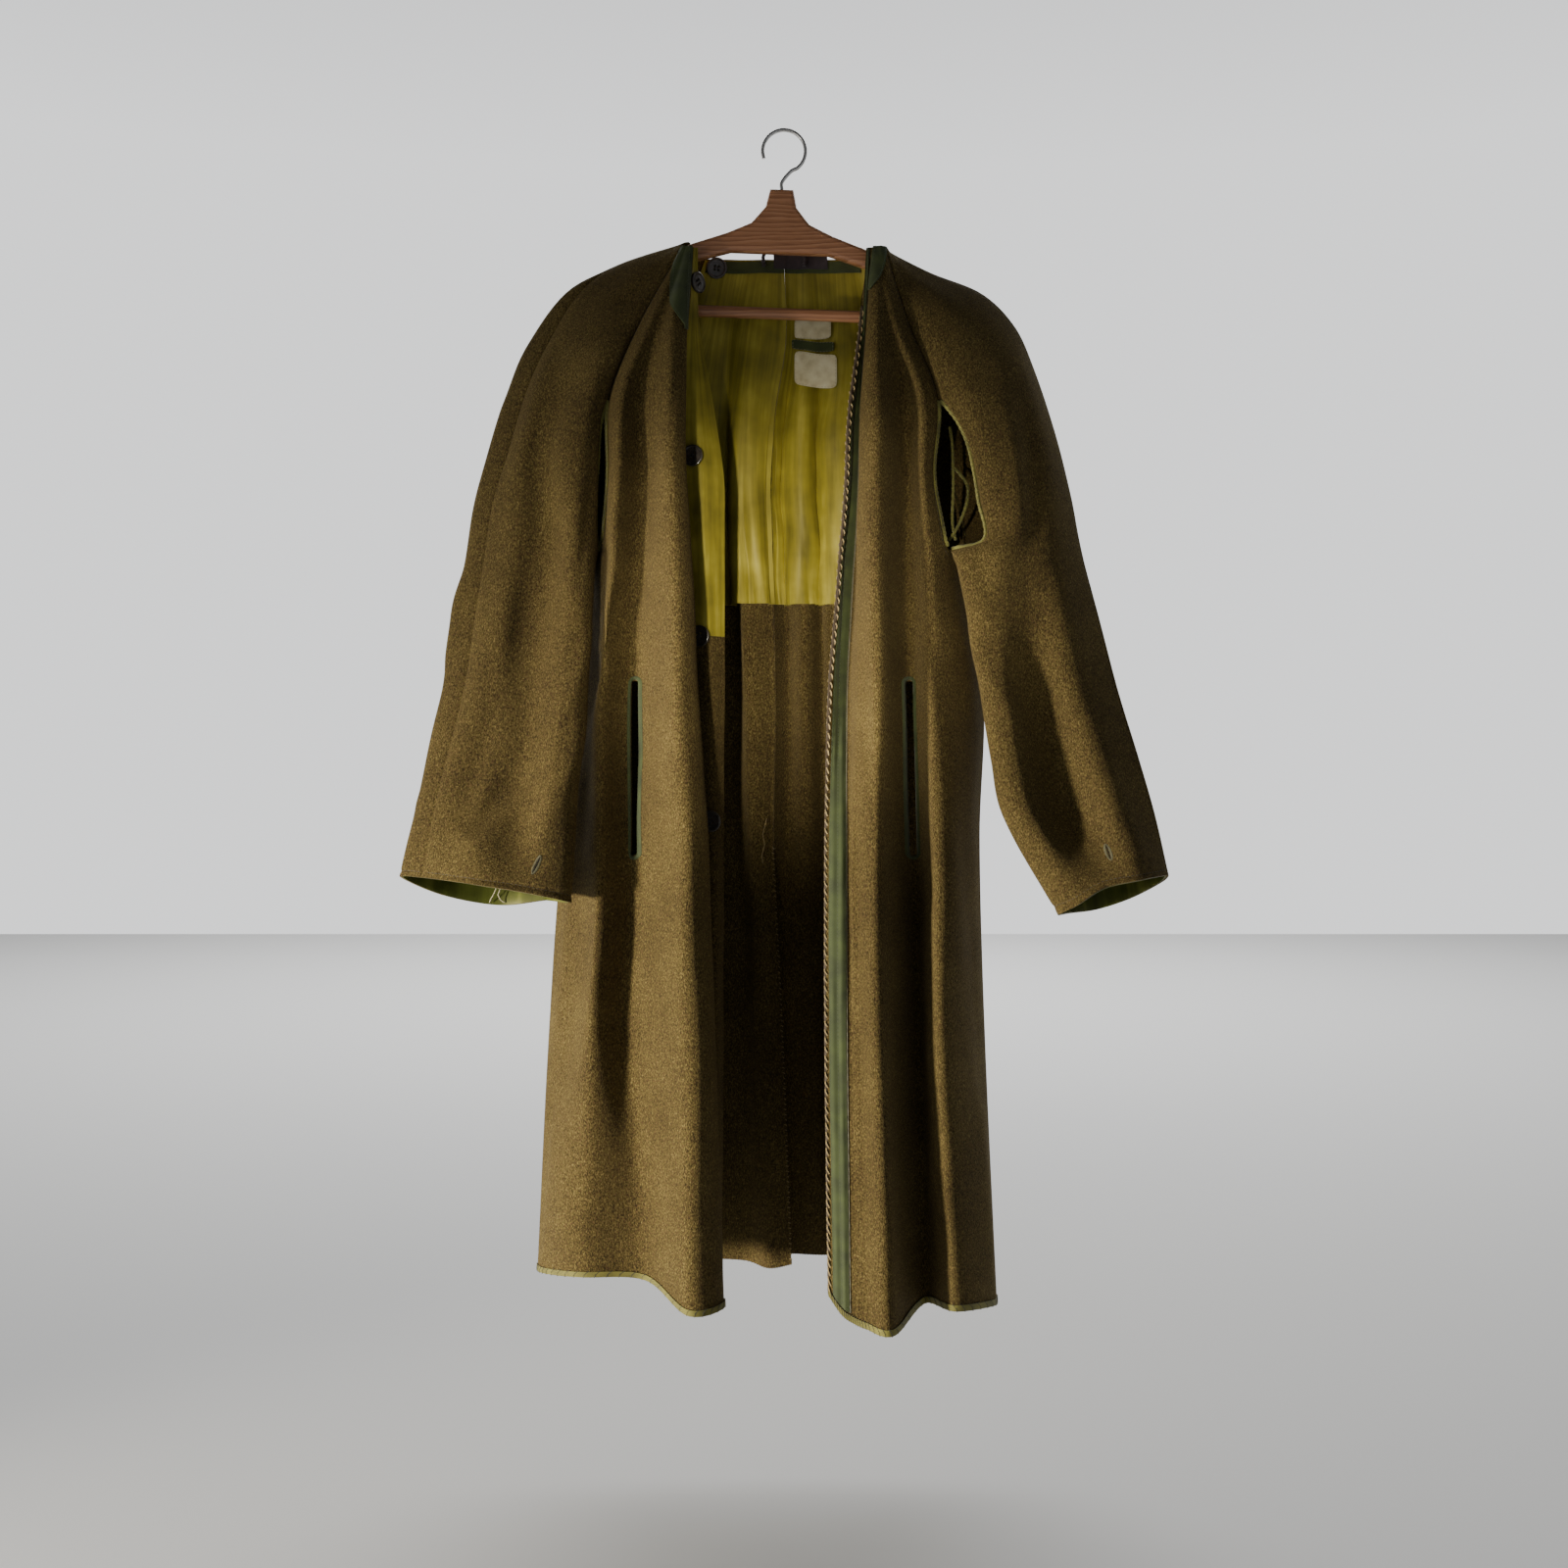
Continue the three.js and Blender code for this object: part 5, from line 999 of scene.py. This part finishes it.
# Through the left slot the bound edges of its back half show, one upright and one folded.
for node, marks, owner in [
    ("slot_bead_back_left_body", [
        (168, -14, -308), (170.5, -16, -330), (171, -18, -372), (170, -20, -405), (173, -22, -424),
    ], "back_left"),
    ("slot_bead_back_left_sleeve", [
        (172, -16, -350), (179, -18, -358), (185.5, -20, -370), (184, -21, -388), (176, -23, -409), (166, -24, -425),
    ], "sleeve_left_back"),
]:
    made = tube(node, np.array(marks, float), 1.6, 12, 90, bead_cloth, twist=0.5)
    trims.setdefault(owner, []).append(made)

dark = sewing("binding_stitches", dark_sewing, 0.26, black_thread)

# Each front has an upright slit through which the wearer reaches the pockets of the coat outside. A ring of tape
# binds it, sewn down all round.
def slit_outline(panel, margin, count):
    """Places on a panel round an upright slot with round ends."""
    r = SLIT["width"] / 2 + margin
    per_line = SLIT["width"] / 2 / slit_reach(panel)
    top, bottom = SLIT["top"] + SLIT["width"] / 2, SLIT["bottom"] - SLIT["width"] / 2
    turn = np.linspace(math.pi, 2 * math.pi, 9)
    down = np.linspace(top, bottom, count)[1:-1]
    c = [*r * np.cos(turn), *np.full(len(down), r), *r * np.cos(turn - math.pi), *np.full(len(down), -r)]
    s = [*top + r * np.sin(turn), *down, *bottom + r * np.sin(turn - math.pi), *down[::-1]]
    return VALLEY + np.array(c) / per_line, np.array(s)


for node, panel in [("pocket_binding_right", front_right), ("pocket_binding_left", front_left)]:
    rings = []
    for margin, high in [
        (SLIT["binding"], LIFT), (SLIT["binding"] * 0.8, LIFT + TAPE), (0.9, LIFT + TAPE), (0.4, LIFT),
    ]:
        rings.append(along(panel, *slit_outline(panel, margin, 30), high))
    n = len(rings[0])
    order = np.arange(n)
    faces = []
    for r in range(4):
        a, b = r * n + order, ((r + 1) % 4) * n + order
        quad = np.stack([a, np.roll(a, -1), np.roll(b, -1), b], 1)
        faces.append(quad[:, ::-1] if panel.turned else quad)
    made = mesh_of(node + "_ring", np.concatenate(rings), np.concatenate(faces), green)
    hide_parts(node)
    trims[node.replace("pocket_binding", "front")].append(made)
    ring_c, ring_s = slit_outline(panel, 2.6, 40)
    stitched = sewing(node + "_stitches", running(panel, ring_c, ring_s, LIFT + TAPE + 0.1), 0.28, green_thread)

# Two woven labels are sewn to the lining over a strip of green cloth, left of the centre seam. They are blank.
LABEL = {"thick": 0.8, "bow": 0.0035}
CREST = 2


def label_look(new):
    place = new.node("TexCoord", out="Object")
    weave = new.node("TexWave", {"bands_direction": "Z"}, Vector=place, Scale=700, Distortion=0.6)
    stain = new.node("TexNoise", Vector=place, Scale=90, Detail=5)
    tone = new.node("ValToRGB", {"stops": [
        (0.3, (0.52, 0.43, 0.22)), (0.5, (0.76, 0.68, 0.42)), (0.75, (0.88, 0.82, 0.58)),
    ]}, Fac=stain * 0.8 + weave * 0.2)
    ribs = new.node("Bump", Strength=0.3, Distance=0.0003, Height=weave)
    return {"Base Color": tone, "Roughness": 0.65, "Normal": ribs}


label_cloth = finish("label_cloth", label_look)
cream_thread = finish("cream_thread", thread_look((0.5, 0.44, 0.26)))
label_sewing = []
for node, across, down, slope, material, slot in [
    ("label_upper", (11, 49), (186, 205.5), -0.06, label_cloth, "label"),
    ("label_patch", (8, 52), (208, 218), 0.02, green, "green_tape"),
    ("label_lower", (11, 55), (220.5, 256), 0.05, label_cloth, "label"),
]:
    u, v = np.meshgrid(np.linspace(-1, 1, 41), np.linspace(-1, 1, 31))
    middle, half = sum(across) / 2, (across[1] - across[0]) / 2
    x = middle + half * u * (1 - 0.07 * v**10)
    h = sum(down) / 2 + (down[1] - down[0]) / 2 * v * (1 - 0.09 * u**10) + 1.1 * np.sin(2.2 * u + 0.6)
    crest = back_left.base([CREST], np.linspace(*down, 31))[:, 0, 1][:, None]
    y = crest - WOOL - LINED_CLEAR - SATIN - LIFT - LABEL["thick"] - LABEL["bow"] * (x - middle) ** 2
    y = y - 0.35 * np.sin((x - across[0]) / 6.5) * np.sin((h - down[0]) / 8)
    face = np.stack([x, y, -h - slope * (x - middle)], -1)
    made = wall(node + "_cloth", face, face + (0, LABEL["thick"], 0), True, material, np.stack([x, h], -1))
    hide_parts(node)
    inset = face[1:-1, 1:-1] - (0, 0.2, 0)
    ring = np.concatenate([inset[0], inset[:, -1], inset[-1, ::-1], inset[::-1, 0]])
    whole, at = paced(ring)
    label_sewing += [at([start, start + 1, start + 2]) for start in np.arange(0, whole - 2.4, 3.4)]
label_stitches = sewing("label_stitches", label_sewing, 0.2, cream_thread)

# A dark purple-brown tab is sewn over the middle of the neck, and a corded loop arches up from it to hang the coat
# by when there is no hanger.
dark_tape = finish("dark_tape", tape_look((0.028, 0.02, 0.024)))
TAPED = LINED + LIFT + TAPE
tab = trim(
    "neck_tab", back_left, np.linspace(-0.9, 3.3, 24), spread(NECK - 9, NECK + 10, 2),
    TAPED + LIFT, TAPED + LIFT + TAPE, dark_tape,
)
trims["lining_back_left"].append(tab)
LOOP = {"half": 21, "top": 101, "foot": 133, "radius": 1.8, "waist": 121}
NECK_FACE = 42.4  # how far back the wool stands at the loop's foot
loop_y = NECK_FACE - (TAPED + LIFT + TAPE + LIFT + LOOP["radius"])
loop_half, loop_top, loop_foot, loop_waist = (LOOP[key] for key in ("half", "top", "foot", "waist"))
loop_marks = np.array([
    (-loop_half, loop_y, -loop_foot), (-loop_half, loop_y, -loop_waist),
    (-0.6 * loop_half, loop_y - 1, -loop_top - 2.5), (0, loop_y - 1.5, -loop_top),
    (0.6 * loop_half, loop_y - 1, -loop_top - 2.5),
    (loop_half, loop_y, -loop_waist), (loop_half, loop_y, -loop_foot),
])

loop = tube("hanging_loop_cord", loop_marks, LOOP["radius"], 12, 90, dark_tape, twist=0.35)
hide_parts("hanging_loop")

# Dark plastic buttons with a raised rim and four holes, sewn through with dark thread, down the button strip and
# at the neck. They fasten the liner into its outer coat.
BUTTON = {"radius": 10.8, "thick": 2.6, "rim": 1.6, "hole": 1.15, "hole_at": 1.95}


def plastic_look(new):
    place = new.node("TexCoord", out="Object")
    swirl = new.node("TexNoise", Vector=place, Scale=160, Detail=4, Distortion=1.2)
    scuff = new.node("TexNoise", Vector=place, Scale=900, Detail=3)
    tone = new.node("ValToRGB", {"stops": [
        (0.3, (0.022, 0.018, 0.015)), (0.6, (0.055, 0.046, 0.038)), (0.85, (0.12, 0.10, 0.08)),
    ]}, Fac=swirl)
    dull = new.node("Bump", Strength=0.08, Distance=0.0002, Height=scuff)
    return {"Base Color": tone, "Roughness": scuff * 0.25 + 0.18, "Normal": dull, "Coat Weight": 0.3}


plastic = finish("button_plastic", plastic_look)
dark_thread = finish("dark_thread", thread_look((0.035, 0.03, 0.025)))
bpy.ops.object.select_all(action="DESELECT")


def flat_button(name):
    """A button on the plane z = 0, in metres, its face up."""
    r, thick, rim = (BUTTON[key] / 1000 for key in ("radius", "thick", "rim"))
    bpy.ops.mesh.primitive_cylinder_add(vertices=64, radius=r, depth=thick * 0.85, location=(0, 0, thick * 0.425))
    made = bpy.context.object
    made.name = name
    bpy.ops.object.mode_set(mode="EDIT")
    bpy.ops.mesh.select_mode(type="FACE")
    bpy.ops.mesh.select_all(action="DESELECT")
    bpy.ops.object.mode_set(mode="OBJECT")
    for face in made.data.polygons:
        face.select = face.normal.z > 0.9
    bpy.ops.object.mode_set(mode="EDIT")
    bpy.ops.mesh.inset(thickness=rim * 0.4)
    bpy.ops.transform.translate(value=(0, 0, thick * 0.15))
    bpy.ops.mesh.inset(thickness=rim * 0.6)
    bpy.ops.mesh.inset(thickness=rim * 0.5)
    bpy.ops.transform.translate(value=(0, 0, -thick * 0.3))
    bpy.ops.mesh.inset(thickness=rim * 1.5)
    bpy.ops.transform.translate(value=(0, 0, -thick * 0.05))
    bpy.ops.object.mode_set(mode="OBJECT")
    at = BUTTON["hole_at"] / 1000
    for x, y in [(at, at), (at, -at), (-at, -at), (-at, at)]:
        made.select_set(False)
        bpy.ops.mesh.primitive_cylinder_add(vertices=20, radius=BUTTON["hole"] / 1000, depth=0.02, location=(x, y, 0))
        drill = bpy.context.object
        bpy.context.view_layer.objects.active = made
        cut = made.modifiers.new("hole", "BOOLEAN")
        cut.operation, cut.solver, cut.object = "DIFFERENCE", "EXACT", drill
        bpy.ops.object.modifier_apply(modifier="hole")
        bpy.data.objects.remove(drill)
    edge = made.modifiers.new("edge", "BEVEL")
    edge.width, edge.segments, edge.limit_method, edge.angle_limit = 0.00022, 2, "ANGLE", math.radians(35)
    made.select_set(True)
    bpy.ops.object.modifier_apply(modifier="edge")
    bpy.ops.object.shade_smooth_by_angle(angle=math.radians(50))
    made.data.materials.append(plastic)
    return made


pattern = flat_button("button_pattern")


def button_at(node, panel, c, s, side, high, turn):
    out = panel.out([c], [s])[0, 0] * side
    spot = (panel.base([c], [s])[0, 0] + out * high - (0, HOOK_AHEAD, 0)) / 1000
    face = Vector((0, 0, 1)).rotation_difference(Vector(out)).to_matrix().to_4x4()
    made = bpy.data.objects.new(node + "_disc", pattern.data.copy())
    bpy.context.collection.objects.link(made)
    made.data.transform(face)
    made.data.transform(Matrix.Translation(Vector(spot)))
    bpy.context.view_layer.update()
    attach(made, "root")
    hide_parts(node)
    across, up = np.array(face.col[0][:3]), np.array(face.col[1][:3])
    at, top = BUTTON["hole_at"] * 0.9, BUTTON["thick"] * 0.86
    threads = []
    crossed, upright = [(at, at, -at, -at), (at, -at, -at, at)], [(at, at, at, -at), (-at, at, -at, -at)]
    for x0, y0, x1, y1 in crossed if turn else upright:
        for shift in (-0.25, 0.25):
            middle = spot * 1000 + (0, HOOK_AHEAD, 0)
            spots = (x0, y0), ((x0 + x1) / 2, (y0 + y1) / 2), (x1, y1)
            ends = [middle + across * (x + shift) + up * y for x, y in spots]
            threads.append([ends[0] + out * 0.2, ends[0] + out * (top - 0.4), ends[1] + out * top,
                            ends[2] + out * (top - 0.4), ends[2] + out * 0.2])
    sewn_on = sewing(node + "_thread", threads, 0.28, dark_thread)


button_at("button_neck_edge", front_right, 0.1, 160, 1, 1, False)
button_at("button_upper", front_right, 1.31, 339, 1, 3.2, False)
button_at("button_middle", front_right, 1.25, 521, 1, 0.35, True)
button_at("button_lower", front_right, 1.15, 707.6, 1, 0.65, False)
button_at("button_inside_neck", back_right, 1.5, 133, -1, TAPED + 1, False)
bpy.data.objects.remove(pattern)

# A buttonhole near the left front's edge and one at each cuff are worked in close stitches round a slit.
hole_thread = finish("hole_thread", thread_look((0.11, 0.10, 0.035)))
# A near-black material for painted shade in the buttonholes' slits.
slit_painted_shade = finish("slit_painted_shade", lambda new: {"Base Color": (0.012, 0.01, 0.008, 1), "Roughness": 1})
HOLE_HALF, HOLE_WIDE = 10.5, 1.6


def buttonhole(name, panel, c, s, lean):
    turn = np.linspace(0, 2 * math.pi, 64, endpoint=False)

    def ring(size, high):
        x = np.cos(turn) * HOLE_WIDE * size + np.sin(turn) * lean * HOLE_HALF
        return along(panel, c + x / panel.pitch, s + np.sin(turn) * (HOLE_HALF + HOLE_WIDE * (size - 1)), high)

    worked = np.stack([ring(0.6, 0.2), ring(1.0, 0.5), ring(1.5, 0.1)], 1)
    sewing(name + "_stitches", worked, 0.4, hole_thread)
    # A near-black rod laid along the slit is painted shade, standing for the dark of the open cut.
    down = np.linspace(-0.9, 0.9, 9) * HOLE_HALF
    slit = along(panel, c + down * lean / panel.pitch, s + down, 0.1)
    sewing(name + "_slit", [slit], 0.55, slit_painted_shade)


buttonhole("front_buttonhole", front_left, 0.22, 347, 0.02)
buttonhole("cuff_buttonhole_right", sleeve_right_front, 2.35, 757, 0.28)
buttonhole("cuff_buttonhole_left", sleeve_left_front, 3.45, 748, -0.05)

# Machine stitching: along each cuff's edge, beside the raglan seams and where the lining meets the wool.
seam_sewing = []
for panel, end in [(sleeve_right_front, 5), (sleeve_right_back, 4), (sleeve_left_front, 5), (sleeve_left_back, 4)]:
    seam_sewing += running(panel, np.linspace(0.1, end - 0.1, 60), CUFF - 7, 0.12)
for panel in (front_right, front_left):
    seam_sewing += running(panel, SIDE - 0.22, spread(NECK + 6, SLOT_TOP - 4, 7), 0.12)
    seam_sewing += running(panel, SIDE - 0.5, spread(SLOT_BOTTOM - 60, ARMPIT - 6, 7), 0.12)
for panel, end in [(back_right, 4.9), (back_left, 5.4)]:
    seam_sewing += running(panel, np.linspace(0.5, end, 60), LINING_HEM - 3, -LINED - 0.3)
wool_thread = finish("wool_thread", thread_look((0.07, 0.055, 0.03)))
seams = sewing("seam_stitches", seam_sewing, 0.26, wool_thread)

# Two small loops of pale cord inside the right cuff take the outer sleeve's buttons.
cuff_loops = [
    np.array([(-290, -17, -772), (-291, -19, -776), (-293, -19, -781), (-296, -18, -786), (-298, -16, -790)]),
    np.array([(-283, -17, -772), (-287, -19, -777), (-289, -19, -782), (-287, -18, -787), (-283, -16, -790)]),
]
cuff_cord = sewing("cuff_loops", cuff_loops, 0.7, cream_thread)

# The hanger: two bowed arms cut from varnished beech, a turned bar between their ends and a plated wire hook.
HANGER = {"tilt": 0.038, "y": 14, "bar": 6, "bar_at": 187, "bar_half": 192.6, "wire": 2, "inner": 20, "foot": 59.7}


def beech_look(new):
    place = new.node("TexCoord", out="Object")
    long = new.node("Mapping", Vector=place, Scale=(0.12, 1, 1))
    wave = {"bands_direction": "Z", "wave_profile": "SAW"}
    rings = new.node("TexWave", wave, Vector=long, Scale=70, Distortion=9, Detail=3)
    pores = new.node("TexNoise", Vector=new.node("Mapping", Vector=place, Scale=(0.06, 1, 1)), Scale=1100, Detail=2)
    tone = new.node("ValToRGB", {"stops": [
        (0.2, (0.24, 0.10, 0.045)), (0.55, (0.40, 0.18, 0.085)), (0.85, (0.50, 0.25, 0.13)),
    ]}, Fac=rings * 0.55 + pores * 0.45)
    grain = new.node("Bump", Strength=0.2, Distance=0.0003, Height=pores)
    return {"Base Color": tone, "Roughness": 0.42, "Normal": grain, "Coat Weight": 0.25}


def steel_look(new):
    place = new.node("TexCoord", out="Object")
    drawn = new.node("TexNoise", Vector=place, Scale=700, Detail=3)
    return {
        "Base Color": (0.62, 0.61, 0.59, 1), "Metallic": 1.0, "Roughness": drawn * 0.2 + 0.16,
        "Normal": new.node("Bump", Strength=0.1, Distance=0.0002, Height=drawn),
    }


beech = finish("beech", beech_look)
steel = finish("plated_steel", steel_look)
bpy.ops.object.select_all(action="DESELECT")
arms = bpy.data.objects["hanger_wood"].copy()
arms.data = bpy.data.objects["hanger_wood"].data.copy()
arms.name = "hanger_arms"
bpy.context.collection.objects.link(arms)
arms.select_set(True)
bpy.context.view_layer.objects.active = arms
bpy.ops.object.mode_set(mode="EDIT")
bpy.ops.mesh.select_all(action="SELECT")
bpy.ops.mesh.remove_doubles(threshold=0.00001)
bpy.ops.mesh.tris_convert_to_quads()
bpy.ops.object.mode_set(mode="OBJECT")
soft = arms.modifiers.new("edges", "BEVEL")
soft.width, soft.segments, soft.limit_method, soft.angle_limit = 0.0011, 3, "ANGLE", math.radians(20)
bpy.ops.object.modifier_apply(modifier="edges")
bpy.ops.object.shade_smooth_by_angle(angle=math.radians(45))
arms.data.materials.clear()
arms.data.materials.append(beech)
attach(arms, "root")
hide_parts("hanger_wood")

lean = HANGER["tilt"]
ends = []
for x in np.linspace(-HANGER["bar_half"], HANGER["bar_half"], 5):
    h = HANGER["bar_at"]
    ends.append((x * math.cos(lean) - h * math.sin(lean), HANGER["y"], -x * math.sin(lean) - h * math.cos(lean)))
bar = tube("hanger_dowel", np.array(ends), HANGER["bar"], 40, 60, beech)
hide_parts("hanger_bar")

bend = HANGER["inner"] + HANGER["wire"]
turn = np.radians(np.linspace(-72, 200, 14))
shank = -HANGER["foot"] * math.sin(lean)
hook_line = [(shank, HANGER["y"], -HANGER["foot"]), (shank * 0.9, HANGER["y"], -HANGER["foot"] + 8)]
hook_line += [(bend * math.cos(a), HANGER["y"], bend * math.sin(a) - HANGER["inner"]) for a in turn]
hook = tube("hook_wire", np.array(hook_line), HANGER["wire"], 20, 160, steel)
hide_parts("hook")
